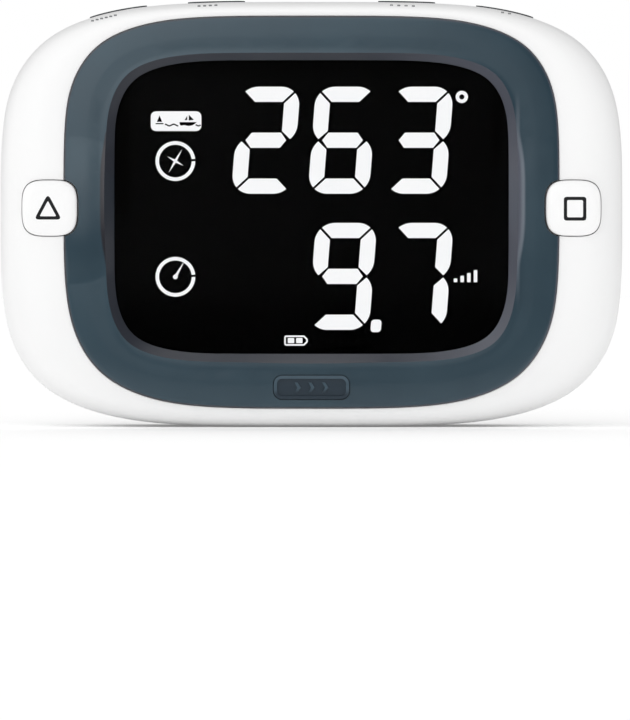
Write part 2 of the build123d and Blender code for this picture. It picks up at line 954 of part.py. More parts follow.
def main_board():
    half_height = board_half_height
    plate = prism(
        lambda height: oval(board_half_width, half_height, half_height, 0, body_power, body_power, height),
        board_back, board_height,
    )
    for x, z in case_screw_places:
        plate -= post(x, z, screw_boss_radius + board_notch_gap, board_back - over, board_height + over)
    for x, z in board_screw_places:
        plate -= post(x, z, board_screw_radius + part_gap, board_back - over, board_height + over)
    for x, z in frame_post_places():
        plate -= post(x, z, post_radius + fit_gap, board_back - over, board_height + over)
    return plate


def board_screw(x, z):
    head_back = board_back - board_screw_head_height
    head = post(x, z, board_screw_head, head_back, board_back)
    across = Rectangle(board_drive_length, board_drive_width)
    along = Rectangle(board_drive_width, board_drive_length)
    drive = slab(Pos(x, z) * (across + along), head_back - over, head_back + board_drive_depth)
    shank = post(x, z, board_screw_radius, board_back, board_height + board_screw_reach)
    return head + shank - drive


def chip(x, z, width, height, thickness):
    return block(x - width / 2, x + width / 2, z - height / 2, z + height / 2,
                 board_back - thickness, board_back)


def passives(x, z):
    """Row of small parts, from left to right."""
    places = [x + passive_pitch * k for k in range(passive_count)]
    return [chip(place, z, passive_width, passive_height, passive_thickness) for place in places]


def board_components():
    """Processor, memory, heading sensor, regulator and passive parts on the board's rear."""
    parts = [
        chip(processor_x, processor_z, processor_size, processor_size, processor_thickness),
        chip(processor_x, memory_z, memory_width, memory_height, memory_thickness),
        chip(compass_x, compass_z, compass_size, compass_size, compass_thickness),
        chip(regulator_x, power_z, regulator_width, regulator_height, regulator_thickness),
        chip(coil_x, power_z, coil_size, coil_size, coil_thickness),
        chip(crystal_x, crystal_z, crystal_width, crystal_height, crystal_thickness),
    ]
    return parts + passives(left_passive_x, left_passive_z) + passives(right_passive_x, right_passive_z)


def antenna():
    ceramic = chip(0, antenna_z, antenna_size, antenna_size, antenna_thickness)
    face = board_back - antenna_thickness
    patch_shape = rounded(antenna_patch_size, antenna_patch_size, antenna_patch_radius, z=antenna_z)
    patch = slab(patch_shape, face - antenna_patch_rise, face)
    pin = post(antenna_pin_x, antenna_pin_z, antenna_pin_radius, face - antenna_pin_rise, face)
    return ceramic + patch + pin


def shield_shape(inset):
    size = shield_size - 2 * inset
    return rounded(size, size, shield_radius - inset, shield_x, shield_z)


def shield_can():
    """Drawn metal can over the satellite receiver, open towards the board."""
    top = board_back - shield_height
    can = slab(shield_shape(0), top, board_back)
    can -= slab(shield_shape(shield_wall), top + shield_wall, board_back + over)
    steps = [shield_hole_pitch * k for k in (-1, 0, 1)]
    holes = [post(shield_x + a, shield_z + b, shield_hole_radius, top - over, top + over)
             for a in steps for b in steps]
    return can - holes


def buzzer():
    top = board_back - buzzer_height
    body = post(buzzer_x, buzzer_z, buzzer_radius, top, board_back)
    return body - post(buzzer_x, buzzer_z, buzzer_hole_radius, top - over, top + buzzer_hole_depth)


# ---- Cells, contacts and door ----

def cell(level, nub_side):
    body_length = cell_length - cell_nub_length
    shift = -nub_side * cell_nub_length / 2
    body = Pos(shift, -cell_height, level) * Rot(0, 90, 0) * Cylinder(cell_radius, body_length)
    body = fillet(body.edges().filter_by(GeomType.CIRCLE), cell_edge)
    nub = Pos(nub_side * (cell_length - cell_nub_length) / 2, -cell_height, level) * Rot(0, 90, 0)
    return body + nub * Cylinder(cell_nub_radius, cell_nub_length)


def cell_levels():
    return [cell_level + cell_spacing / 2, cell_level - cell_spacing / 2]


def contact_leaf(side, level):
    """Bowed strip that presses on the end of one cell."""
    start = side * (well_half_length - contact_thickness / 2)
    apex = side * (cell_length / 2 + fit_gap + contact_thickness / 2)
    middle = -cell_height
    half = contact_reach / 2
    bow = ThreePointArc((start, middle - half), (apex, middle), (start, middle + half))
    return Pos(0, 0, level) * extrude(trace(bow, contact_thickness), contact_width / 2, both=True)


def contact_plate(side, bottom, top):
    left, right = sorted((side * well_half_length, side * (well_half_length - contact_thickness)))
    return block(left, right, bottom, top, cell_height - contact_reach * contact_drop, well_floor)


def contact_tab_places():
    x = -(well_half_length - contact_thickness / 2)
    return [(x, level) for level in cell_levels()]


def end_contact(level):
    half = contact_width / 2
    x = -(well_half_length - contact_thickness / 2)
    contact = contact_plate(-1, level - half, level + half) + contact_leaf(-1, level)
    tab = block(x - contact_thickness / 2, x + contact_thickness / 2, level - contact_tab_width / 2,
                level + contact_tab_width / 2, well_floor - over, board_back)
    trim = block(-well_half_length, 0, level - half, level + half, -rear_depth, board_back)
    return (contact + tab) & trim


def bridge_contact():
    half = contact_width / 2
    low, high = min(cell_levels()) - half, max(cell_levels()) + half
    strip = contact_plate(1, low, high)
    for level in cell_levels():
        strip += contact_leaf(1, level)
    return strip & block(0, well_half_length, low, high, -rear_depth, well_floor)


def battery_door():
    door = slab(door_shape(), -rear_depth, recess_floor)
    edge = door.edges().group_by(Axis.Y)[-1]
    door = fillet(edge, door_edge)
    rib = well_shape(-part_gap) - well_shape(-part_gap - door_rib_wall)
    door += slab(rib, recess_floor, recess_floor + door_rib)
    door -= door_ring(0)
    for x in door_screw_places.values():
        door -= post(x, cell_level, door_screw_head_radius + stack_gap, -rear_depth - over, door_screw_seat)
        door -= post(x, cell_level, door_screw_radius + fit_gap, -rear_depth, recess_floor + over)
    return door


def door_ring(gap):
    outer = well_shape(door_gasket_inset + door_gasket_width - gap)
    inner = well_shape(door_gasket_inset + gap)
    return slab(outer - inner, recess_floor - door_gasket_depth, recess_floor)


def door_screw(x):
    """Coin-slot screw, kept on the door by a clip in its groove."""
    head_back = door_screw_seat - door_screw_head_height
    head = post(x, cell_level, door_screw_head_radius, head_back, door_screw_seat)
    head = chamfer(head.edges().filter_by(GeomType.CIRCLE).sort_by(Axis.Y)[-1], door_screw_chamfer)
    shank = post(x, cell_level, door_screw_radius, door_screw_seat, door_screw_seat + door_screw_length)
    clip_low = recess_floor + part_gap
    shank -= tube(x, cell_level, door_screw_radius + over, door_screw_radius - door_screw_groove, clip_low,
                  clip_low + clip_thickness)
    reach = door_screw_head_radius + 1
    slot = block(x - reach, x + reach, cell_level - coin_slot_width / 2, cell_level + coin_slot_width / 2,
                 head_back - over, head_back + coin_slot_depth)
    return head + shank - slot


def door_screw_clip(x):
    clip_low = recess_floor + part_gap
    clip_high = clip_low + clip_thickness
    outer = door_screw_radius + clip_margin
    ring = tube(x, cell_level, outer, door_screw_radius - door_screw_groove, clip_low, clip_high)
    half = door_clip_mouth / 2
    mouth = block(x - half, x + half, cell_level - outer - over, cell_level, clip_low - over,
                  clip_high + over)
    return ring - mouth


# ---- The whole instrument ----

def pieces():
    dome = bezel_dome()
    yield "front_case", [front_case()]
    yield "rear_case", [rear_case()]
    yield "case_gasket", [gasket_ring(fit_gap)]
    yield "case_screws", [case_screw(x, z) for x, z in case_screw_places]
    yield "case_screw_inserts", [
        tube(x, z, screw_insert_radius, screw_radius + fit_gap, 0, screw_insert_length)
        for x, z in case_screw_places
    ]
    yield "vent_plug", [vent_plug()]
    yield "bezel", [bezel(dome)]
    yield "display_window", [display_window()]
    yield "window_seal", [window_seal()]
    yield "display_frame", [display_frame()]
    yield "display_front_glass", [
        display_plate(display_width, display_bottom, display_top, rear_glass_face, glass_face)
    ]
    yield "display_rear_glass", [
        display_plate(display_width, display_bottom, display_top - glass_ledge, guide_face, rear_glass_face)
    ]
    yield "light_guide", [
        display_plate(2 * guide_half_width, guide_bottom, guide_top, guide_back, guide_face)
    ]
    yield "backlight_leds", [backlight_led(x, z) for x, z in led_places()]
    yield "connector_strip", [
        block(-strip_half(), strip_half(), strip_level - strip_width / 2, strip_level + strip_width / 2,
              board_height, rear_glass_face)
    ]
    for name, x in button_places.items():
        yield name + "_button", [side_button(x)]
        yield name + "_button_ring", [stem_ring(x, button_level, button_stem_radius)]
        yield name + "_button_clip", [stem_clip(x, button_level, button_stem_radius)]
        yield name + "_switch_plunger", [switch_plunger(x, button_level)]
    yield "start_key", [start_key(dome)]
    yield "start_key_ring", [stem_ring(0, start_level, start_stem_radius)]
    yield "start_key_clip", [stem_clip(0, start_level, start_stem_radius)]
    key_places = [(x, button_level) for x in button_places.values()] + [(0, start_level)]
    yield "key_switches", [switch_housing(x, z) for x, z in key_places]
    yield "start_switch_plunger", [switch_plunger(0, start_level)]
    for number, x in enumerate(top_key_places, 1):
        yield f"top_key_{number}", [top_key(x)]
        yield f"top_switch_plunger_{number}", [top_plunger(x)]
    yield "top_switches", [top_switch(x) for x in top_key_places]
    yield "top_switch_board_left", [top_switch_board(-1)]
    yield "top_switch_board_right", [top_switch_board(1)]
    yield "ribbon_cables", [ribbon(-1), ribbon(1)]
    yield "ribbon_sockets", [ribbon_socket(-1), ribbon_socket(1)]
    yield "main_board", [main_board()]
    yield "board_screws", [board_screw(x, z) for x, z in board_screw_places]
    yield "board_components", board_components()
    yield "satellite_antenna", [antenna()]
    yield "receiver_shield", [shield_can()]
    yield "buzzer", [buzzer()]
    yield "cells", [cell(level, side) for level, side in zip(cell_levels(), (1, -1))]
    yield "cell_contact_upper", [end_contact(cell_levels()[0])]
    yield "cell_contact_lower", [end_contact(cell_levels()[1])]
    yield "cell_bridge", [bridge_contact()]
    yield "battery_door", [battery_door()]
    yield "door_gasket", [door_ring(fit_gap)]
    for name, x in door_screw_places.items():
        yield "door_screw_" + name, [door_screw(x)]
        yield "door_screw_clip_" + name, [door_screw_clip(x)]
    yield "door_screw_inserts", [
        tube(x, cell_level, door_insert_radius, door_screw_radius + fit_gap, door_insert_face,
             door_insert_face + door_insert_length)
        for x in door_screw_places.values()
    ]
    yield "mount_inserts", [
        tube(x, z, mount_insert_radius, mount_insert_bore, mount_face, mount_face + mount_insert_length)
        for x, z in mount_places
    ]


os.makedirs("parts", exist_ok=True)
to_origin = Pos(0, mount_face, -mount_level)
for name, found in pieces():
    solids = [solid for shape in found for solid in (to_origin * shape).solids()]
    whole = solids[0] if len(solids) == 1 else Compound(children=solids)
    export_step(whole, f"parts/{name}.step")
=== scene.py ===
import json
import math

import bpy
from mathutils import Matrix, Vector
from mathutils.bvhtree import BVHTree


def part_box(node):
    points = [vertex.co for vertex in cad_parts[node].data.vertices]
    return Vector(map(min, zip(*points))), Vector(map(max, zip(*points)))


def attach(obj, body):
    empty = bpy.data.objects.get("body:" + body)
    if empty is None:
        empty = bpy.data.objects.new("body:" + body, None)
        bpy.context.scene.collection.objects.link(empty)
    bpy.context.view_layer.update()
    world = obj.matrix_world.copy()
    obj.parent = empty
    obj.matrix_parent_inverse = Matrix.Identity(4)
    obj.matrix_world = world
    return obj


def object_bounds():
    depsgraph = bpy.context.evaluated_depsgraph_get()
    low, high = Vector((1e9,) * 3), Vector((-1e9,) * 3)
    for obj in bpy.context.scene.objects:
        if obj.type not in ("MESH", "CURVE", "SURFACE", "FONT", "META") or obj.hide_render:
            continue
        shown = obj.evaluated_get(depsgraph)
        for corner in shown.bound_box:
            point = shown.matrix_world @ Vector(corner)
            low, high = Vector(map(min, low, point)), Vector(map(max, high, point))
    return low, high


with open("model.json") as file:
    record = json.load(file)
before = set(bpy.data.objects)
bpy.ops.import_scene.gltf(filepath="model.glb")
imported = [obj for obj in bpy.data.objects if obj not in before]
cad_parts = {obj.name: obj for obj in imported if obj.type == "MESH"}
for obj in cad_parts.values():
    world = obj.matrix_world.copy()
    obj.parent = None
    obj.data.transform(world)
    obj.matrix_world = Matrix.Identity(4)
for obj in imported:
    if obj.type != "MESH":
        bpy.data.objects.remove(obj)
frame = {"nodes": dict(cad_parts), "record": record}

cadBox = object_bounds()
mm = 0.001
bodyCentreZ = -16.0    # the middle of the casing's height
print("frame loaded,", len(frame["nodes"]), "nodes")


# shader maths and node making

class Wire:    # one output socket, so that sums on it are written as Python
    def __init__(self, bench, socket):
        self.bench = bench
        self.socket = socket

    def sum(self, kind, left, right=0.0):
        return self.bench.add("ShaderNodeMath", {"operation": kind}, {0: left, 1: right})["Value"]

    def __add__(self, other):
        return self.sum("ADD", self, other)

    def __radd__(self, other):
        return self.sum("ADD", other, self)

    def __sub__(self, other):
        return self.sum("SUBTRACT", self, other)

    def __rsub__(self, other):
        return self.sum("SUBTRACT", other, self)

    def __mul__(self, other):
        return self.sum("MULTIPLY", self, other)

    def __rmul__(self, other):
        return self.sum("MULTIPLY", other, self)

    def __gt__(self, other):
        return self.sum("GREATER_THAN", self, other)

    def __lt__(self, other):
        return self.sum("LESS_THAN", self, other)

    def __abs__(self):
        return self.sum("ABSOLUTE", self)


def socketOf(sockets, key):    # by number, or the first one of that name that is in use
    if isinstance(key, int):
        return sockets[key]
    return next(s for s in sockets if s.enabled and s.name == key)


class Outlets:
    def __init__(self, bench, node):
        self.bench = bench
        self.node = node

    def __getitem__(self, key):
        return Wire(self.bench, socketOf(self.node.outputs, key))


class Bench:    # adds nodes to one tree: settings first, then socket values and links
    def __init__(self, tree):
        self.tree = tree
        tree.nodes.clear()

    def add(self, kind, settings=None, sockets=None):
        node = self.tree.nodes.new(kind)
        for name, value in (settings or {}).items():
            setattr(node, name, value)
        for name, value in (sockets or {}).items():
            if isinstance(value, Wire):
                self.tree.links.new(value.socket, socketOf(node.inputs, name))
            else:
                socketOf(node.inputs, name).default_value = value
        return Outlets(self, node)

    def axis(self, vector, name):
        return self.add("ShaderNodeSeparateXYZ", {}, {"Vector": vector})[name]

    def blend(self, share, first, second):
        return self.add("ShaderNodeMix", {"data_type": "RGBA"},
                        {"Factor": share, "A": first, "B": second})["Result"]

    def tint(self, share, first, second):
        return self.blend(share, paint(*first), paint(*second))

    def ease(self, value, start, end):    # 0 at the start, 1 at the end, smooth between
        return self.add("ShaderNodeMapRange", {"interpolation_type": "SMOOTHSTEP"},
                        {"Value": value, "From Min": start, "From Max": end})["Result"]

    def fold(self, value, width):    # runs up to the width and back down, over and over
        return self.add("ShaderNodeMath", {"operation": "PINGPONG"}, {0: value, 1: width})["Value"]


class Finish(Bench):    # a material on one Principled shader
    def __init__(self, name, constants=None):
        self.material = bpy.data.materials.new(name)
        self.material.use_nodes = True
        super().__init__(self.material.node_tree)
        self.shader = self.add("ShaderNodeBsdfPrincipled", {}, constants)
        self.add("ShaderNodeOutputMaterial", {}, {"Surface": self.shader["BSDF"]})

    def drive(self, name, wire):
        self.tree.links.new(wire.socket, self.shader.node.inputs[name])

    def place(self):    # object coordinates, counted in millimetres
        where = self.add("ShaderNodeTexCoord")["Object"]
        return self.add("ShaderNodeVectorMath", {"operation": "SCALE"},
                        {"Vector": where, "Scale": 1 / mm})["Vector"]

    def stretched(self, place, scale):
        return self.add("ShaderNodeMapping", {}, {"Vector": place, "Scale": scale})["Vector"]

    def noise(self, place, perMm, detail=2.0):
        return self.add("ShaderNodeTexNoise", {},
                        {"Vector": place, "Scale": perMm, "Detail": detail})["Fac"]

    def cloud(self, place, perMm):    # noise with one finer layer more
        return self.noise(place, perMm, 3.0)

    def relief(self, height, depth):
        return self.add("ShaderNodeBump", {},
                        {"Height": height, "Strength": 1.0, "Distance": depth * mm})["Normal"]

    def gloss(self, share, look):    # roughness swings about its middle value
        self.drive("Roughness", share * look["swing"] + (look["rough"] - look["swing"] / 2))

    def grain(self, place, look):
        self.drive("Normal", self.relief(self.noise(place, look["grain"]), look["depth"]))


def paint(red, green, blue):    # a colour as it is seen, 0 to 255, made linear
    parts = [c / 255 for c in (red, green, blue)]
    return (*[p / 12.92 if p < 0.04 else ((p + 0.055) / 1.055) ** 2.4 for p in parts], 1.0)


# moulded plastics and rubbers: colour drifts slowly, gloss follows it, grain is fine

mouldings = {
    "case_white": {"light": (248, 248, 248), "dark": (245, 245, 245), "cloud": 0.05,
                   "rough": 0.30, "swing": 0.06, "grain": 5.0, "depth": 0.0015,
                   "shine": 0.3, "seam": 0.11, "seamColour": (150, 152, 154)},
    "button_white": {"light": (250, 250, 250), "dark": (247, 247, 247), "cloud": 0.2,
                     "rough": 0.28, "swing": 0.05, "grain": 6.0, "depth": 0.001, "shine": 0.3},
    "key_charcoal": {"light": (62, 66, 70), "dark": (50, 54, 58), "cloud": 0.3,
                     "rough": 0.55, "swing": 0.10, "grain": 6.0, "depth": 0.008},
    "vent_grey": {"light": (96, 100, 104), "dark": (82, 86, 90), "cloud": 0.4,
                  "rough": 0.5, "swing": 0.12, "grain": 5.0, "depth": 0.006},
    "frame_black": {"light": (26, 27, 29), "dark": (18, 19, 20), "cloud": 0.2,
                    "rough": 0.6, "swing": 0.1, "grain": 5.0, "depth": 0.006},
    "plunger_black": {"light": (30, 30, 32), "dark": (20, 20, 22), "cloud": 0.8,
                      "rough": 0.45, "swing": 0.1, "grain": 8.0, "depth": 0.003},
    "buzzer_black": {"light": (34, 34, 36), "dark": (24, 24, 26), "cloud": 0.5,
                     "rough": 0.5, "swing": 0.1, "grain": 6.0, "depth": 0.005},
    "chip_black": {"light": (40, 41, 44), "dark": (28, 29, 31), "cloud": 0.9,
                   "rough": 0.55, "swing": 0.15, "grain": 9.0, "depth": 0.004},
    "socket_ivory": {"light": (226, 216, 190), "dark": (212, 200, 172), "cloud": 0.4,
                     "rough": 0.5, "swing": 0.1, "grain": 6.0, "depth": 0.004},
    "seal_rubber": {"light": (34, 34, 36), "dark": (22, 22, 24), "cloud": 0.3,
                    "rough": 0.75, "swing": 0.15, "grain": 7.0, "depth": 0.01},
}
plainShine = 0.5    # for a moulding that names no other


def moulded(name, look):
    finish = Finish(name, {"Specular IOR Level": look.get("shine", plainShine)})
    place = finish.place()
    cloud = finish.cloud(place, look["cloud"])
    colour = finish.tint(cloud, look["dark"], look["light"])
    if "seam" in look:    # a hairline where the front and rear halves of the case meet
        away = abs(finish.axis(place, "Y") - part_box("rear_case")[0].y / mm)
        colour = finish.blend(away < look["seam"], colour, paint(*look["seamColour"]))
    finish.drive("Base Color", colour)
    finish.gloss(cloud, look)
    finish.grain(place, look)
    return finish.material


# the bezel: satin slate, with soft swellings moulded in beside each button and the start key

bezelLook = {
    "light": (50, 73, 85), "dark": (37, 57, 69), "cloud": 0.06,
    "rough": 0.34, "swing": 0.10, "grain": 4.5, "depth": 0.006,
    "faceFrom": 0.74, "faceTo": 0.9,    # how squarely a face looks ahead, from bevel to front
    # the bevel faces are painted a darker, greyer slate as painted shade, and paler towards the
    # right as painted light
    "bevel": (49, 52, 60), "bevelRight": (69, 72, 83), "palerFrom": 5.0, "palerTo": 48.0,
    "dome": 600.0,    # the radius that the shading gives its front
    "swellings": ({"x": -57.0, "z": -15.0, "reachX": 17.0, "reachZ": 18.0, "height": 2.2},
                  {"x": 57.0, "z": -15.0, "reachX": 17.0, "reachZ": 18.0, "height": 0.5},
                  {"x": 0.0, "z": -57.5, "reachX": 30.0, "reachZ": 13.0, "height": 0.5}),
}

# beside each button the bevel is painted wider, darker on the left as painted shade and paler on
# the right as painted light, with a painted highlight along its outer edge on the right

paintedFlareLook = {
    # the widened bevel is painted: the left colour is its painted shade, the right colour its
    # painted light, and the edge colour a painted highlight
    "edge": 49.4, "z": -12.2, "reach": 17.0, "bulge": 1.35, "left": (38, 38, 45),
    "right": (86, 90, 102), "softFrom": -0.2, "softTo": 0.3,
    "besideFrom": -3.0, "besideTo": -2.0, "middle": 1.0, "tip": 0.1,
    "edgeLight": (104, 112, 122), "edgeReach": 27.0, "edgeFrom": 0.1, "edgeTo": 0.8,
}


def paintedFlare(finish, place, colour, face, look):    # face is 1 on the front and 0 on the bevel
    across = finish.axis(place, "X")
    upward = finish.axis(place, "Z") - look["z"]
    onRight = finish.ease(across, -look["middle"], look["middle"])
    outward = abs(across) - look["edge"]
    allowed = face * finish.ease(outward, look["besideFrom"], look["besideTo"])
    bow = 1.0 - finish.ease(upward * upward, 0.0, look["reach"] ** 2)
    inside = bow * look["bulge"] - outward
    paintedWidening = finish.ease(inside, look["softFrom"], look["softTo"])
    paintedWidening = paintedWidening * finish.ease(bow, 0.0, look["tip"]) * allowed
    # painted shade on the left and painted light on the right, where the bevel is painted wider
    colour = finish.blend(paintedWidening, colour, finish.tint(onRight, look["left"], look["right"]))
    highlightLine = 1.0 - finish.ease(abs(inside), look["edgeFrom"], look["edgeTo"])
    fade = 1.0 - finish.ease(upward * upward, 0.0, look["edgeReach"] ** 2)
    # a painted highlight along the painted bevel's outer edge, on the right only
    return finish.blend(highlightLine * fade * onRight * allowed, colour, paint(*look["edgeLight"]))


def bezelSlate(look):
    finish = Finish("bezel_slate")
    place = finish.place()
    across, upward = finish.axis(place, "X"), finish.axis(place, "Z")
    cloud = finish.cloud(place, look["cloud"])
    slate = finish.tint(cloud, look["dark"], look["light"])
    facing = abs(finish.axis(finish.add("ShaderNodeNewGeometry")["True Normal"], "Y"))
    face = finish.ease(facing, look["faceFrom"], look["faceTo"])
    # painted light: the bevel's painted colour grows paler towards the right
    paintedLight = finish.ease(across, look["palerFrom"], look["palerTo"])
    # painted shade: faces that turn away from the front take the bevel's darker painted colour
    colour = finish.blend(face, finish.tint(paintedLight, look["bevel"], look["bevelRight"]), slate)
    finish.drive("Base Color", paintedFlare(finish, place, colour, face, paintedFlareLook))
    finish.gloss(cloud, look)
    fromMiddle = upward - bodyCentreZ
    crown = across * across + fromMiddle * fromMiddle
    height = finish.noise(place, look["grain"]) * look["depth"] - crown * (0.5 / look["dome"])
    for bulge in look["swellings"]:
        aside = (across - bulge["x"]) * (1 / bulge["reachX"])
        above = (upward - bulge["z"]) * (1 / bulge["reachZ"])
        fall = finish.ease(aside * aside + above * above, 0.0, 1.0)
        height = height + bulge["height"] * (1.0 - fall)
    finish.drive("Normal", finish.relief(height, 1.0))
    return finish.material


# metals: streaks run along one axis, as rolled or turned stock has them

metals = {
    "screw_steel": {"light": (205, 206, 208), "dark": (176, 178, 182), "rough": 0.28,
                    "swing": 0.18, "streak": (6.0, 0.6, 6.0), "depth": 0.003},
    "insert_brass": {"light": (214, 178, 104), "dark": (188, 150, 82), "rough": 0.3,
                     "swing": 0.18, "streak": (4.0, 0.5, 4.0), "depth": 0.003},
    "switch_metal": {"light": (196, 198, 200), "dark": (168, 170, 174), "rough": 0.35,
                     "swing": 0.18, "streak": (1.0, 6.0, 6.0), "depth": 0.002},
    "shield_tin": {"light": (200, 202, 204), "dark": (178, 180, 182), "rough": 0.32,
                   "swing": 0.18, "streak": (0.4, 5.0, 5.0), "depth": 0.003},
    "contact_nickel": {"light": (212, 208, 198), "dark": (188, 184, 174), "rough": 0.26,
                       "swing": 0.18, "streak": (5.0, 5.0, 0.5), "depth": 0.003},
}


def metal(name, look):
    finish = Finish(name, {"Metallic": 1.0})
    streaks = finish.cloud(finish.stretched(finish.place(), look["streak"]), 1.0)
    finish.drive("Base Color", finish.tint(streaks, look["dark"], look["light"]))
    finish.gloss(streaks, look)
    finish.drive("Normal", finish.relief(streaks, look["depth"]))
    return finish.material


# clear and lit parts

glassLook = {"ior": 1.10, "smeared": (246, 248, 250), "clean": (252, 252, 252), "cloud": 0.12,
             "rough": 0.035, "swing": 0.03}


def windowGlass(look):
    finish = Finish("window_glass", {"Transmission Weight": 1.0, "IOR": look["ior"]})
    smear = finish.cloud(finish.place(), look["cloud"])
    finish.drive("Base Color", finish.tint(smear, look["smeared"], look["clean"]))
    finish.gloss(smear, look)
    return finish.material


guideLook = {"clear": 0.6, "ior": 1.49, "dotsPerMm": 1.1, "dotSize": 0.22,
             "body": (226, 234, 238), "dot": (250, 250, 250), "rough": 0.35, "swing": 0.5}


def guideClear(look):    # milky light guide with rows of fine extraction dots
    finish = Finish("guide_clear", {"Transmission Weight": look["clear"], "IOR": look["ior"]})
    fromDot = finish.add("ShaderNodeTexVoronoi", {}, {
        "Vector": finish.place(), "Scale": look["dotsPerMm"], "Randomness": 0.0})["Distance"]
    dot = fromDot < look["dotSize"]
    finish.drive("Base Color", finish.tint(dot, look["body"], look["dot"]))
    finish.gloss(dot, look)
    return finish.material


lcdLook = {"dark": (1, 1, 1), "light": (3, 3, 4), "shine": 0.02, "cloud": 0.08,
           "rough": 0.4, "swing": 0.1}


def displayGlass(look):    # a black LCD with a faint drift in its polariser
    finish = Finish("display_glass", {"Specular IOR Level": look["shine"]})
    drift = finish.noise(finish.place(), look["cloud"])
    finish.drive("Base Color", finish.tint(drift, look["dark"], look["light"]))
    finish.gloss(drift, look)
    return finish.material


litLook = {"light": (251, 251, 251), "dark": (246, 246, 246), "glow": 1.04, "fleck": 1.6,
           "body": (12, 12, 12), "rough": 0.6}


def litSegment(look):    # the glowing strokes of the display
    finish = Finish("lit_segment", {"Roughness": look["rough"], "Base Color": paint(*look["body"]),
                                    "Emission Strength": look["glow"], "Specular IOR Level": 0.0})
    fleck = finish.cloud(finish.place(), look["fleck"])
    finish.drive("Emission Color", finish.tint(fleck, look["dark"], look["light"]))
    return finish.material


ledLook = {"phosphor": (246, 240, 200), "lens": (240, 240, 236), "fleck": 0.9, "depth": 0.01,
           "rough": 0.35}


def ledWhite(look):
    finish = Finish("led_white", {"Roughness": look["rough"]})
    fleck = finish.noise(finish.place(), look["fleck"])
    finish.drive("Base Color", finish.tint(fleck, look["phosphor"], look["lens"]))
    finish.drive("Normal", finish.relief(fleck, look["depth"]))
    return finish.material


# boards, cables, antenna and cells

boardLook = {"mask": (22, 84, 52), "track": (38, 118, 74), "perMm": 0.28, "scatter": 0.8,
             "repeat": 0.09, "gap": 0.06, "rough": 0.4, "swing": -0.1, "depth": 0.03,
             "coat": 0.3, "coatRough": 0.15}


def boardGreen(look):    # solder mask over tracks that run round their pads
    finish = Finish("board_green", {"Coat Weight": look["coat"],
                                    "Coat Roughness": look["coatRough"]})
    fromPad = finish.add("ShaderNodeTexVoronoi", {"distance": "MANHATTAN", "feature": "F1"}, {
        "Vector": finish.place(), "Scale": look["perMm"],
        "Randomness": look["scatter"]})["Distance"]
    track = finish.fold(fromPad, look["repeat"]) > look["gap"]
    finish.drive("Base Color", finish.tint(track, look["mask"], look["track"]))
    finish.gloss(track, look)
    finish.drive("Normal", finish.relief(track, look["depth"]))
    return finish.material


ribbonLook = {"film": (196, 122, 38), "copper": (150, 84, 26), "start": -100.0, "pitch": 0.5,
              "lineFrom": 0.2, "lineTo": 0.3, "rough": 0.375, "swing": 0.15, "depth": 0.03,
              "coat": 0.4, "coatRough": 0.1}


def ribbonAmber(look):    # copper lines show through the film, side by side along X
    finish = Finish("ribbon_amber", {"Coat Weight": look["coat"],
                                     "Coat Roughness": look["coatRough"]})
    along = finish.axis(finish.place(), "X") - look["start"]
    line = finish.ease(finish.fold(along, look["pitch"]), look["lineFrom"], look["lineTo"])
    finish.drive("Base Color", finish.tint(line, look["film"], look["copper"]))
    finish.gloss(line, look)
    finish.drive("Normal", finish.relief(line, look["depth"]))
    return finish.material


antennaLook = {"pale": (188, 168, 140), "deep": (176, 154, 124), "silver": (206, 206, 204),
               "patchHalf": 9.6, "patchMetal": 0.95, "cloud": 1.4, "rough": 0.475, "swing": 0.15,
               "depth": 0.006}


def antennaCeramic(look):    # fired ceramic with a square silver patch on its face
    finish = Finish("antenna_ceramic")
    place = finish.place()
    cloud = finish.cloud(place, look["cloud"])
    low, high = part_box("satellite_antenna")
    middle = (low + high) / 2 / mm
    patch = ((abs(finish.axis(place, "X") - middle.x) < look["patchHalf"])
             * (abs(finish.axis(place, "Z") - middle.z) < look["patchHalf"]))
    ceramic = finish.tint(cloud, look["pale"], look["deep"])
    finish.drive("Base Color", finish.blend(patch, ceramic, paint(*look["silver"])))
    finish.drive("Metallic", patch * look["patchMetal"])
    finish.gloss(cloud, look)
    finish.drive("Normal", finish.relief(cloud, look["depth"]))
    return finish.material


cellLook = {"sleeve": (88, 104, 118), "band": (196, 202, 206), "steel": (200, 200, 198),
            "sleeveEnd": 24.2, "bandStart": 13.0, "worn": (90, 92, 96), "wear": 0.25,
            "scuff": (0.3, 4.0, 4.0), "rough": 0.32, "swing": 0.12, "depth": 0.004,
            "coat": 0.3, "coatRough": 0.12}


def cellSkin(look):    # a plain sleeve with a coloured band, and steel at both ends
    finish = Finish("cell_skin", {"Coat Weight": look["coat"],
                                  "Coat Roughness": look["coatRough"]})
    place = finish.place()
    along = finish.axis(place, "X")
    steel = abs(along) > look["sleeveEnd"]
    scuff = finish.cloud(finish.stretched(place, look["scuff"]), 1.0)
    sleeve = finish.tint(along > look["bandStart"], look["sleeve"], look["band"])
    worn = finish.blend(scuff * look["wear"], sleeve, paint(*look["worn"]))
    finish.drive("Base Color", finish.blend(steel, worn, paint(*look["steel"])))
    finish.drive("Metallic", steel)
    finish.gloss(scuff, look)
    finish.drive("Normal", finish.relief(scuff, look["depth"]))
    return finish.material


def dress(node, material):
    for holder in node.material_slots:
        holder.material = material


finishes = {name: moulded(name, look) for name, look in mouldings.items()}
finishes.update({name: metal(name, look) for name, look in metals.items()})
finishes.update({
    "bezel_slate": bezelSlate(bezelLook),
    "window_glass": windowGlass(glassLook),
    "guide_clear": guideClear(guideLook),
    "display_glass": displayGlass(lcdLook),
    "led_white": ledWhite(ledLook),
    "board_green": boardGreen(boardLook),
    "ribbon_amber": ribbonAmber(ribbonLook),
    "antenna_ceramic": antennaCeramic(antennaLook),
    "cell_skin": cellSkin(cellLook),
})
litWhite = litSegment(litLook)

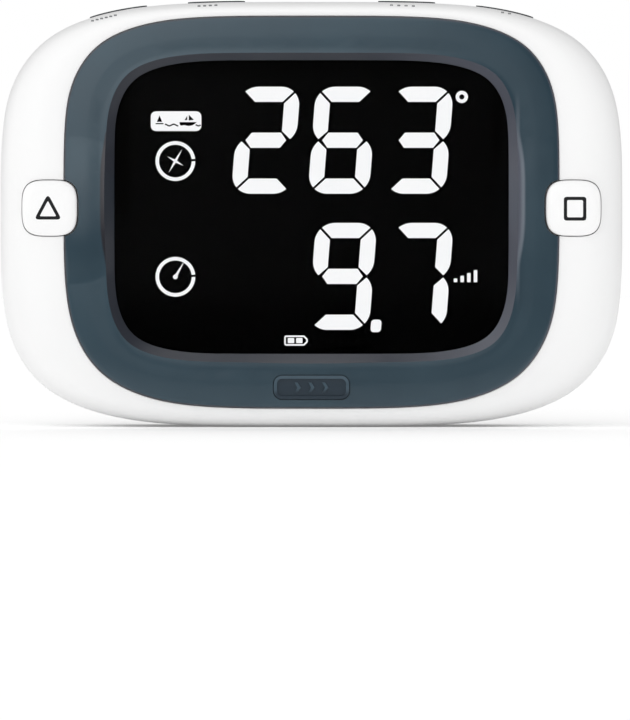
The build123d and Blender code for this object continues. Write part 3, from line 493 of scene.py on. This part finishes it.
for part in frame["record"]["subparts"]:
    dress(frame["nodes"][part["node"]], finishes[part["material_slot"]])
print("finishes given,", len(finishes), "slots")


# flat prints: closed outlines in millimetres become thin plates

def arc(x, z, radius, start, end, steps=8):
    angles = [math.radians(start + (end - start) * i / steps) for i in range(steps + 1)]
    return [(x + radius * math.cos(a), z + radius * math.sin(a)) for a in angles]


def circle(x, z, radius, steps=40):
    return arc(x, z, radius, 0, 360, steps)[:-1]


def roundBox(x, z, width, height, radius):
    right = x + width / 2 - radius
    left = x - width / 2 + radius
    top = z + height / 2 - radius
    bottom = z - height / 2 + radius
    return (arc(right, top, radius, 0, 90) + arc(left, top, radius, 90, 180)
            + arc(left, bottom, radius, 180, 270) + arc(right, bottom, radius, 270, 360))


def stroke(points, width):    # a band of even width along a line of points
    left, right = [], []
    for i, (x, z) in enumerate(points):
        before = Vector(points[max(i - 1, 0)])
        after = Vector(points[min(i + 1, len(points) - 1)])
        side = (after - before).normalized() * width / 2
        left.append((x - side.y, z + side.x))
        right.append((x + side.y, z - side.x))
    return left + right[::-1]


def shifted(loops, x, z):
    return [[(px + x, pz + z) for px, pz in loop] for loop in loops]


def plate(name, loops, thickness):
    curve = bpy.data.curves.new(name, "CURVE")
    curve.dimensions = "2D"
    curve.fill_mode = "BOTH"
    curve.extrude = thickness / 2 * mm
    for loop in loops:
        spline = curve.splines.new("POLY")
        spline.points.add(len(loop) - 1)
        spline.use_cyclic_u = True
        for point, (x, z) in zip(spline.points, loop):
            point.co = (x * mm, z * mm, 0, 1)
    holder = bpy.data.objects.new(name, curve)
    bpy.context.scene.collection.objects.link(holder)
    made = holder.evaluated_get(bpy.context.evaluated_depsgraph_get())
    mesh = bpy.data.meshes.new_from_object(made)
    bpy.data.objects.remove(holder)
    mesh.name = name
    return mesh


def addPiece(name, mesh, body, material):
    piece = bpy.data.objects.new(name, mesh)
    bpy.context.scene.collection.objects.link(piece)
    mesh.materials.clear()
    mesh.materials.append(material)
    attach(piece, body)


def addPrint(name, loops, thickness, backLevel, body, material):
    # backLevel is the y that the plate lies on, and it faces the front
    mesh = plate(name, loops, thickness)
    mesh.transform(Matrix.Translation((0, backLevel - thickness / 2 * mm, 0))
                   @ Matrix.Rotation(math.radians(90), 4, "X"))
    addPiece(name, mesh, body, material)


# the display: seven-segment figures and signs, placed from the middle of the casing

windowLow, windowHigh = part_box("display_window")
lcdLow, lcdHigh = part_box("display_front_glass")

figures = {
    "halfWidth": 7.35,
    "halfHeight": 12.85,
    "stroke": 3.65,
    "corner": 4.6,
    "waistRadius": 4.75,
    "waistStart": 3.8,
    "tip": 1.9,    # how far the middle stroke's points stay inside the sides
    "gap": 0.56,
    "lean": math.tan(math.radians(4.4)),
    "columns": (-10.97, 7.44, 25.83),
    "rows": (17.8, -14.9),
    "reading": (("2", "6", "3"), (None, "9", "7")),
    "point": {"x": 15.5, "z": -26.8, "width": 2.5, "height": 3.0, "corner": 0.8},
    "thickness": 0.04,
}
strokesOfFigure = {"2": "abged", "3": "abgcd", "6": "afgedc", "7": "abc", "9": "abcdfg"}


def mirrored(loop, across, down):
    return [(px * across, pz * down) for px, pz in loop]


def figureStrokes(look):    # the seven strokes of one upright figure about its middle
    w, h, t = look["halfWidth"], look["halfHeight"], look["stroke"]
    r, gap = look["corner"], look["gap"]
    tuck = math.degrees(gap / 2 / r)
    shift = gap / math.sqrt(2)
    top = (arc(-w + r, h - r, r, 135 - tuck, 90) + arc(w - r, h - r, r, 90, 45 + tuck)
           + [(w - t - shift, h - t), (-w + t + shift, h - t)])
    start, waist = look["waistStart"], look["waistRadius"]
    turn = math.degrees(math.asin((start - gap / 2) / waist))
    side = (arc(w - r, h - r, r, 45 - tuck, 0) + arc(w - waist, start, waist, 0, -turn)
            + [(w - t, t / 2 + shift), (w - t, h - t - shift)])
    tip = w - look["tip"] - gap
    flat = w - t - shift / 2
    middle = [(tip, 0), (flat, t / 2), (-flat, t / 2),
              (-tip, 0), (-flat, -t / 2), (flat, -t / 2)]
    return {"a": top, "b": side, "c": mirrored(side, 1, -1), "d": mirrored(top, 1, -1),
            "e": mirrored(side, -1, -1), "f": mirrored(side, -1, 1), "g": middle}


def leaned(loop, x, z, lean):
    return [(px + pz * lean + x, pz + z) for px, pz in loop]


def readoutLoops(look):
    strokes = figureStrokes(look)
    loops = []
    for rowHeight, row in zip(look["rows"], look["reading"]):
        for column, figure in zip(look["columns"], row):
            for letter in strokesOfFigure.get(figure, ""):
                loops.append(leaned(strokes[letter], column, rowHeight, look["lean"]))
    point = look["point"]
    square = roundBox(0, 0, point["width"], point["height"], point["corner"])
    return loops + [leaned(square, point["x"], point["z"], look["lean"])]


addPrint("readout_figures", shifted(readoutLoops(figures), 0, bodyCentreZ),
         figures["thickness"], lcdLow.y, "casing", litWhite)

signs = {
    "flag": {"x": -38.6, "z": 20.0, "width": 12.15, "height": 4.75, "corner": 1.3},
    "ring": {"radius": 4.78, "width": 0.86, "gap": 0.56, "gapTurn": 3, "steps": 72},
    "compass": {"x": -32.7, "z": 12.8, "long": 3.25, "short": 2.25, "waist": 0.42, "turn": 60},
    "gauge": {"x": -32.7, "z": -15.0, "hub": 0.58, "needle": 3.8, "root": 0.62, "tip": 1,
              "turn": 60},
    "degree": {"x": 36.1, "z": 28.2, "outer": 1.47, "inner": 0.62},
    "battery": {"left": -6.55, "right": -0.9, "bottom": -31.55, "top": -29.1, "wall": 0.38,
                "corner": 0.5, "nose": 0.85, "noseIn": 0.15,
                "cells": (1.62, 3.62), "cellWidth": 1.55, "cellHeight": 1.25, "cellCorner": 0.2},
    "bars": {"x": 34.6, "z": -16.3, "width": 0.85, "pitch": 1.6, "corner": 0.15,
             "heights": (0.9, 1.55, 2.2, 2.9)},
}

# what stays dark in the flag's panel, from the panel's lower left corner

flagScene = {
    "buoy": [(2.1, 3.75), (1.45, 2.2), (2.75, 2.2)],
    "buoyFoot": {"x": 2.1, "z": 1.78, "width": 1.9, "height": 0.3, "corner": 0.12},
    "wave": {"x": 3.4, "z": 1.45, "step": 0.2, "count": 17, "rise": 0.2, "half": 1.05,
             "line": 0.34},
    "wake": {"x": 10.75, "z": 1.36, "step": 0.15, "count": 9, "rise": 0.13, "half": 0.7,
             "line": 0.32},
    "hull": [(6.9, 2.15), (11.05, 2.15), (10.55, 1.72), (10.1, 1.42), (9.6, 1.3), (9.1, 1.2),
             (8.6, 1.28), (8.1, 1.42), (7.7, 1.36), (7.3, 1.3), (6.95, 1.55)],
    "jib": [(8.1, 2.62), (8.74, 2.62), (8.78, 3.7)],
    "mainSail": [(9.14, 3.92), (9.12, 2.55), (10.35, 2.68)],
}


def ripple(look):    # a cosine line, where half is half a wave
    line = []
    for i in range(look["count"]):
        along = look["step"] * i
        line.append((look["x"] + along,
                     look["z"] + look["rise"] * math.cos(math.pi * along / look["half"])))
    return stroke(line, look["line"])


def flagSign(look, inside):
    foot = inside["buoyFoot"]
    shapes = [
        roundBox(look["width"] / 2, look["height"] / 2,
                 look["width"], look["height"], look["corner"]),
        inside["buoy"],
        roundBox(foot["x"], foot["z"], foot["width"], foot["height"], foot["corner"]),
        ripple(inside["wave"]), ripple(inside["wake"]),
        inside["hull"], inside["jib"], inside["mainSail"],
    ]
    return shifted(shapes, look["x"], look["z"])


def openRing(x, z, look):    # a ring with a small gap at its right
    outer, inner = look["radius"], look["radius"] - look["width"]
    start, end = look["gapTurn"], look["gapTurn"] + 360
    outerCut = math.degrees(look["gap"] / 2 / outer)
    innerCut = math.degrees(look["gap"] / 2 / inner)
    return (arc(x, z, outer, start + outerCut, end - outerCut, look["steps"])
            + arc(x, z, inner, end - innerCut, start + innerCut, look["steps"]))


def polar(x, z, radius, degrees):
    turn = math.radians(degrees)
    return (x + radius * math.cos(turn), z + radius * math.sin(turn))


def compassSign(look):    # a four-pointed needle, its points and waists taken in turn
    reach = (look["long"], look["waist"], look["short"], look["waist"]) * 2
    return [polar(look["x"], look["z"], r, look["turn"] + 45 * i) for i, r in enumerate(reach)]


def gaugeSign(look):
    x, z, turn = look["x"], look["z"], look["turn"]
    spread = math.degrees(math.asin(look["root"] / 2 / look["hub"]))
    hub = arc(x, z, look["hub"], turn + spread, turn + 360 - spread, 24)
    return hub + [polar(x, z, look["needle"], turn - look["tip"]),
                  polar(x, z, look["needle"], turn + look["tip"])]


def batterySign(look):
    left, right, low, high = look["left"], look["right"], look["bottom"], look["top"]
    corner, nose, wall, back = look["corner"], look["nose"], look["wall"], look["noseIn"]
    outer = (arc(left + corner, high - corner, corner, 90, 180, 5)
             + arc(left + corner, low + corner, corner, 180, 270, 5)
             + [(right - nose, low), (right, low + nose),
                (right, high - nose), (right - nose, high)])
    inner = [(left + wall, high - wall), (left + wall, low + wall),
             (right - nose - back, low + wall), (right - wall, low + nose + back),
             (right - wall, high - nose - back), (right - nose - back, high - wall)]
    cells = [roundBox(left + x, (low + high) / 2, look["cellWidth"], look["cellHeight"],
                      look["cellCorner"]) for x in look["cells"]]
    return [outer, inner] + cells


def barSign(look):    # a plain strength scale, in place of a unit
    return [roundBox(look["x"] + i * look["pitch"], look["z"] + height / 2,
                     look["width"], height, look["corner"])
            for i, height in enumerate(look["heights"])]


def signLoops(look):
    compass, gauge, degree = look["compass"], look["gauge"], look["degree"]
    return (flagSign(look["flag"], flagScene)
            + [openRing(compass["x"], compass["z"], look["ring"]), compassSign(compass),
               openRing(gauge["x"], gauge["z"], look["ring"]), gaugeSign(gauge),
               circle(degree["x"], degree["z"], degree["outer"]),
               circle(degree["x"], degree["z"], degree["inner"])]
            + batterySign(look["battery"]) + barSign(look["bars"]))


addPrint("readout_signs", shifted(signLoops(signs), 0, bodyCentreZ), figures["thickness"],
         lcdLow.y, "casing", litWhite)
print("display drawn")


# the black border printed behind the window

border = {
    "inset": 0.35, "corner": 8.6, "lap": 0.9, "openCorner": 2.0, "thickness": 0.02,
    "ink": {"light": (3, 3, 4), "dark": (1, 1, 1), "cloud": 0.2, "rough": 0.5, "swing": 0.1,
            "grain": 6.0, "depth": 0.001, "shine": 0.02},
}


def boxLoop(low, high, inset, corner):    # a rounded frame line just inside a part's box
    return roundBox((low.x + high.x) / 2 / mm, (low.z + high.z) / 2 / mm,
                    (high.x - low.x) / mm - 2 * inset, (high.z - low.z) / mm - 2 * inset, corner)


borderLoops = [boxLoop(windowLow, windowHigh, border["inset"], border["corner"]),
               boxLoop(lcdLow, lcdHigh, border["lap"], border["openCorner"])]
addPrint("window_border_print", borderLoops, border["thickness"],
         windowHigh.y + border["thickness"] * mm, "casing",
         moulded("border_ink", border["ink"]))


# symbols printed on the two side buttons

symbols = {
    "line": 0.78,
    "triangle": {"x": -63.2, "z": 1.85, "width": 6.6, "height": 6.2, "corner": 0.7,
                 "innerShare": 0.3},
    "square": {"x": 63.2, "z": 1.35, "width": 5.4, "height": 5.7, "corner": 0.75,
               "innerShare": 0.5},
    "thickness": 0.03,
    "ink": {"light": (34, 35, 37), "dark": (24, 25, 27), "cloud": 0.6, "rough": 0.6,
            "swing": 0.1, "grain": 8.0, "depth": 0.002, "shine": 0.2},
}


def roundedCorners(points, radius, steps=5):
    loop = []
    for i, corner in enumerate(points):
        here = Vector(corner)
        back = (Vector(points[i - 1]) - here).normalized()
        ahead = (Vector(points[(i + 1) % len(points)]) - here).normalized()
        reach = radius / math.tan(back.angle(ahead) / 2)
        start, end = here + back * reach, here + ahead * reach
        for step in range(steps + 1):
            share = step / steps
            loop.append(tuple(start.lerp(here, share).lerp(here.lerp(end, share), share)))
    return loop


def outlined(outer, inner, look):    # both edges of a symbol's line, with their corners rounded
    return [roundedCorners(outer, look["corner"]),
            roundedCorners(inner, look["corner"] * look["innerShare"])]


def triangleSymbol(look, line):
    x, z, w, h = look["x"], look["z"], look["width"] / 2, look["height"] / 2
    outer = [(x - w, z - h), (x + w, z - h), (x, z + h)]
    slope = math.hypot(w, 2 * h)
    baseIn = line * (w + slope) / (2 * h)
    topIn = line * slope / w
    inner = [(x - w + baseIn, z - h + line), (x + w - baseIn, z - h + line), (x, z + h - topIn)]
    return outlined(outer, inner, look)


def squareSymbol(look, line):
    x, z, w, h = look["x"], look["z"], look["width"] / 2, look["height"] / 2
    outer = [(x - w, z - h), (x + w, z - h), (x + w, z + h), (x - w, z + h)]
    inner = [(x + (px - x) * (w - line) / w, z + (pz - z) * (h - line) / h) for px, pz in outer]
    return outlined(outer, inner, look)


symbolInk = moulded("symbol_ink", symbols["ink"])
for buttonName, loops in (
        ("pin_button", triangleSymbol(symbols["triangle"], symbols["line"])),
        ("boat_button", squareSymbol(symbols["square"], symbols["line"]))):
    addPrint(buttonName + "_symbol", shifted(loops, 0, bodyCentreZ), symbols["thickness"],
             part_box(buttonName)[0].y, buttonName, symbolInk)


# marks that follow the surface they lie on

def surfaceOf(name):
    mesh = frame["nodes"][name].data
    return BVHTree.FromPolygons([v.co.copy() for v in mesh.vertices],
                                [list(p.vertices) for p in mesh.polygons])


def fromFront(surface, x, z):    # where the surface is met from the front, and its normal there
    place, normal = surface.ray_cast(Vector((x * mm, -1.0, z * mm)), Vector((0, 1, 0)))[:2]
    return place, normal if normal.y < 0 else -normal


def addLaidMarks(name, loops, look, surface, body, material):
    # each outline stands proud of the surface by its rise, and its base is sunk into it
    points, faces = [], []
    for loop in loops:
        centre = (sum(p[0] for p in loop) / len(loop), sum(p[1] for p in loop) / len(loop))
        start, count = len(points), len(loop)
        for x, z in loop + [centre]:
            place, normal = fromFront(surface, x, z)
            points += [place + normal * look["rise"] * mm, place - normal * look["sunk"] * mm]
        for i in range(count):
            j = (i + 1) % count
            faces.append((start + 2 * i, start + 2 * j, start + 2 * count))
            faces.append((start + 2 * j + 1, start + 2 * i + 1, start + 2 * count + 1))
            faces.append((start + 2 * j, start + 2 * i, start + 2 * i + 1, start + 2 * j + 1))
    mesh = bpy.data.meshes.new(name)
    mesh.from_pydata(points, [], faces)
    mesh.update()
    addPiece(name, mesh, body, material)


# the start key: its crests are painted paler, a painted highlight, and its field stays dark

startLow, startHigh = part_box("start_key")
keyCrestHighlight = {"field": (27, 45, 58), "crest": (62, 83, 96), "crestDark": (56, 74, 86),
           "crestDepth": 0.12, "fieldDepth": 0.34, "cloud": 0.5, "rough": 0.4, "swing": 0.14,
           "grain": 4.5, "depth": 0.006}


def startSlate(look):
    finish = Finish("start_slate")
    place = finish.place()
    cloud = finish.cloud(place, look["cloud"])
    depth = finish.axis(place, "Y") - startLow.y / mm
    # painted highlight: the crests, nearest the front, take a paler colour than the field
    field = finish.ease(depth, look["crestDepth"], look["fieldDepth"])
    paintedCrest = finish.tint(cloud, look["crest"], look["crestDark"])
    finish.drive("Base Color", finish.blend(field, paintedCrest, paint(*look["field"])))
    finish.gloss(field, look)
    finish.grain(place, look)
    return finish.material


startFinish = startSlate(keyCrestHighlight)
dress(frame["nodes"]["start_key"], startFinish)


# three raised chevrons on it, inside its ridge

chevrons = {"count": 3, "pitch": 3.3, "width": 1.5, "height": 2.4, "line": 0.7, "rise": 0.3,
            "sunk": 0.05}


def chevronLoops(look):
    z = (startLow.z + startHigh.z) / 2 / mm
    w, h, line = look["width"] / 2, look["height"] / 2, look["line"]
    loops = []
    for i in range(look["count"]):
        x = (i - (look["count"] - 1) / 2) * look["pitch"]
        loops.append([(x - w, z - h), (x - w + line, z - h), (x + w, z),
                      (x - w + line, z + h), (x - w, z + h), (x + w - line, z)])
    return loops


addLaidMarks("start_key_chevrons", chevronLoops(chevrons), chevrons, surfaceOf("start_key"),
             "start_key", startFinish)


# rows of small grey dashes on the shoulder in front of the top keys

dashes = {
    "rows": ({"x": -52.6, "z": 46.5, "climb": 0.235, "count": 6, "pitch": 1.1},
             {"x": -27.0, "z": 50.0, "climb": 0.05, "count": 4, "pitch": 1.35},
             {"x": 19.2, "z": 50.2, "climb": -0.04, "count": 4, "pitch": 1.75},
             {"x": 45.9, "z": 48.5, "climb": -0.15, "count": 2, "pitch": 1.7}),
    "width": 0.74, "height": 0.40, "corner": 0.12, "rise": 0.012, "sunk": 0.02,
    "ink": {"light": (132, 134, 136), "dark": (112, 114, 116), "cloud": 0.6, "rough": 0.5,
            "swing": 0.1, "grain": 8.0, "depth": 0.002},
}


def dashLoops(look):
    loops = []
    for row in look["rows"]:
        for i in range(row["count"]):
            along = i * row["pitch"]
            loops.append(roundBox(row["x"] + along,
                                  row["z"] + along * row["climb"] + bodyCentreZ,
                                  look["width"], look["height"], look["corner"]))
    return loops


addLaidMarks("top_key_marks", dashLoops(dashes), dashes, surfaceOf("front_case"),
             "casing", moulded("mark_ink", dashes["ink"]))
print("prints laid")


# what repeats is made by geometry nodes

def nodesGroup(name, inputs):
    tree = bpy.data.node_groups.new(name, "GeometryNodeTree")
    tree.interface.new_socket("Geometry", in_out="OUTPUT", socket_type="NodeSocketGeometry")
    for label, kind in inputs:
        tree.interface.new_socket(label, in_out="INPUT", socket_type=kind)
    bench = Bench(tree)
    return bench, bench.add("NodeGroupInput")


def grown(name, bench, values):    # runs a tree once and keeps its plain mesh
    holder = bpy.data.objects.new(name, bpy.data.meshes.new(name))
    bpy.context.scene.collection.objects.link(holder)
    modifier = holder.modifiers.new(name, "NODES")
    modifier.node_group = bench.tree
    for item in bench.tree.interface.items_tree:
        if item.in_out == "INPUT" and item.name in values:
            modifier[item.identifier] = values[item.name]
    made = holder.evaluated_get(bpy.context.evaluated_depsgraph_get())
    mesh = bpy.data.meshes.new_from_object(made)
    holder.modifiers.remove(modifier)
    bpy.data.objects.remove(holder)
    mesh.name = name
    return mesh


def finishTree(bench, geometry, material):
    real = bench.add("GeometryNodeRealizeInstances", {}, {"Geometry": geometry})["Geometry"]
    dressed = bench.add("GeometryNodeSetMaterial", {}, {"Geometry": real, "Material": material})
    bench.add("NodeGroupOutput", {}, {"Geometry": dressed["Geometry"]})


def upright(bench, mesh):    # turns what lies flat to face along the depth
    return bench.add("GeometryNodeTransform", {}, {
        "Geometry": mesh, "Rotation": (math.radians(90), 0, 0)})["Geometry"]


# rings of thread in the mounting inserts, on the same grid as their bores

threads = {"bore": 1.65, "crest": 0.14, "pitch": 0.7, "depth": 7.0, "start": 0.5,
           "spacingX": 38.05, "spacingZ": 30.17, "crestSides": 4, "boreSides": 40}


def threadTree(look):
    bench, given = nodesGroup("insert_thread", (
        ("Bore", "NodeSocketFloat"), ("Crest", "NodeSocketFloat"), ("Pitch", "NodeSocketFloat"),
        ("Turns", "NodeSocketInt"), ("Spacing X", "NodeSocketFloat"),
        ("Spacing Z", "NodeSocketFloat")))
    profile = bench.add("GeometryNodeCurvePrimitiveCircle", {}, {
        "Resolution": look["crestSides"], "Radius": given["Crest"]})["Curve"]
    path = bench.add("GeometryNodeCurvePrimitiveCircle", {}, {
        "Resolution": look["boreSides"], "Radius": given["Bore"]})["Curve"]
    ring = bench.add("GeometryNodeCurveToMesh", {}, {
        "Curve": path, "Profile Curve": profile})["Mesh"]
    step = bench.add("ShaderNodeCombineXYZ", {}, {"Y": given["Pitch"] * -1.0})["Vector"]
    line = bench.add("GeometryNodeMeshLine", {}, {
        "Count": given["Turns"], "Offset": step})["Mesh"]
    stack = bench.add("GeometryNodeInstanceOnPoints", {}, {
        "Points": line, "Instance": upright(bench, ring)})["Instances"]
    grid = bench.add("GeometryNodeMeshGrid", {}, {
        "Size X": given["Spacing X"], "Size Y": given["Spacing Z"],
        "Vertices X": 2, "Vertices Y": 2})["Mesh"]
    everyBore = bench.add("GeometryNodeInstanceOnPoints", {}, {
        "Points": upright(bench, grid), "Instance": stack})["Instances"]
    finishTree(bench, everyBore, finishes["insert_brass"])
    return bench


threadMesh = grown("mount_insert_threads", threadTree(threads), {
    "Bore": threads["bore"] * mm, "Crest": threads["crest"] * mm, "Pitch": threads["pitch"] * mm,
    "Turns": int(threads["depth"] / threads["pitch"]),
    "Spacing X": threads["spacingX"] * mm, "Spacing Z": threads["spacingZ"] * mm})
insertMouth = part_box("mount_inserts")[1].y
threadMesh.transform(Matrix.Translation((0, insertMouth - threads["start"] * mm, 0)))
addPiece("mount_insert_threads", threadMesh, "casing", finishes["insert_brass"])
print("threads grown")


# floor, world, lamps and camera

floorLook = {"half": 3.0, "colour": (270, 270, 270), "bounce": (248, 248, 248), "glow": 0.105,
             "liftFront": 0.30, "liftUnder": 0.05, "liftFrom": -0.030, "liftTo": -0.060,
             "dark": (20, 20, 20), "darkFrom": -0.045, "darkTo": -0.10}


def floorPaper(look):
    material = bpy.data.materials.new("studio_floor")
    material.use_nodes = True
    bench = Bench(material.node_tree)
    rays = bench.add("ShaderNodeLightPath")
    gloss = rays["Is Glossy Ray"]
    seen = rays["Is Camera Ray"] + gloss + rays["Is Transmission Ray"]
    paper = bench.add("ShaderNodeBsdfDiffuse", {}, {
        "Color": bench.tint(seen, look["bounce"], look["colour"])})["BSDF"]
    depth = bench.axis(bench.add("ShaderNodeTexCoord")["Object"], "Y")
    # light thrown up at the casing, most of it from just ahead
    nearFront = bench.ease(depth, look["liftFrom"], look["liftTo"])
    lift = nearFront * look["liftFront"] + look["liftUnder"]
    glow = bench.add("ShaderNodeEmission", {}, {
        "Strength": seen * look["glow"] + (1.0 - seen) * lift})["Emission"]
    lit = bench.add("ShaderNodeAddShader", {}, {0: paper, 1: glow})["Shader"]
    # what gloss sees of the floor ahead of the casing is dark, as past a table's edge
    unlit = bench.add("ShaderNodeBsdfDiffuse", {}, {"Color": paint(*look["dark"])})["BSDF"]
    past = bench.ease(depth, look["darkFrom"], look["darkTo"])
    sheet = bench.add("ShaderNodeMixShader", {}, {0: past * gloss, 1: lit, 2: unlit})["Shader"]
    bench.add("ShaderNodeOutputMaterial", {}, {"Surface": sheet})
    return material


def addFloor(look, level):
    half = look["half"]
    mesh = bpy.data.meshes.new("studio_floor")
    mesh.from_pydata([(-half, -half, level), (half, -half, level), (half, half, level),
                      (-half, half, level)], [], [(0, 1, 2, 3)])
    mesh.materials.append(floorPaper(look))
    floor = bpy.data.objects.new("studio_floor", mesh)
    bpy.context.scene.collection.objects.link(floor)


addFloor(floorLook, cadBox[0].z)

worldLook = {"ambient": 0.685, "boost": 0.08, "lean": (-1.0, 0.4), "dark": 0.02, "bright": 1.5,
             "backdrop": 0.45, "rear": 0.10, "gloss": (-0.12, 0.42), "behind": (0.1, 0.6)}


def studioWorld(look):    # a large soft source up and to the left, dark behind the camera
    world = bpy.data.worlds.new("studio")
    world.use_nodes = True
    bench = Bench(world.node_tree)
    rays = bench.add("ShaderNodeLightPath")
    way = bench.add("ShaderNodeSeparateXYZ", {},
                    {"Vector": bench.add("ShaderNodeTexCoord")["Generated"]})
    upLeft = way["X"] * look["lean"][0] + way["Z"] * look["lean"][1]
    source = bench.ease(upLeft, *look["gloss"])
    behind = bench.ease(way["Y"], *look["behind"])
    room = look["dark"] + (look["bright"] - look["dark"]) * source
    mirrorLevel = room * (1.0 - behind) + look["backdrop"] * behind
    softLevel = look["ambient"] + look["boost"] * upLeft - look["rear"] * way["Y"]
    seen = rays["Is Camera Ray"]
    glossy = rays["Is Glossy Ray"] + rays["Is Transmission Ray"]
    level = seen + glossy * mirrorLevel + (1.0 - (seen + glossy)) * softLevel
    air = bench.add("ShaderNodeBackground", {}, {"Color": (1, 1, 1, 1), "Strength": level})
    bench.add("ShaderNodeOutputWorld", {}, {"Surface": air["Background"]})
    return world


bpy.context.scene.world = studioWorld(worldLook)

lamps = {
    "key": {"from": (-0.3, -0.5, 1.0), "spread": 60, "strength": 0.16},
    "fill": {"from": (-0.2, -1.3, 0.0), "spread": 80, "strength": 0.36},
}


def addTurned(name, data, towards):    # its back is turned towards the direction given
    holder = bpy.data.objects.new(name, data)
    holder.rotation_mode = "QUATERNION"
    holder.rotation_quaternion = Vector(towards).to_track_quat("Z", "Y")
    bpy.context.scene.collection.objects.link(holder)
    return holder


for name, lamp in lamps.items():
    sun = bpy.data.lights.new(name, "SUN")
    sun.energy = lamp["strength"] * math.pi / 2
    sun.angle = math.radians(lamp["spread"])
    addTurned(name, sun, lamp["from"])

view = {"distance": 2.0, "seenHeight": 173.5, "sensor": 36.0, "near": 0.05, "far": 20.0,
        "aimX": 0.84, "aimZ": -51.1, "plane": -30.0}


def addCamera(look):
    aim = Vector((look["aimX"], look["plane"], look["aimZ"])) * mm
    place = Vector((aim.x, aim.y - look["distance"], bodyCentreZ * mm))
    camera = bpy.data.cameras.new("camera")
    camera.sensor_width = look["sensor"]
    camera.lens = look["sensor"] * look["distance"] / (look["seenHeight"] * mm)
    camera.clip_start, camera.clip_end = look["near"], look["far"]
    eye = addTurned("camera", camera, place - aim)
    eye.location = place
    bpy.context.scene.camera = eye


addCamera(view)
bpy.context.scene.view_settings.view_transform = "Standard"
print("studio set")
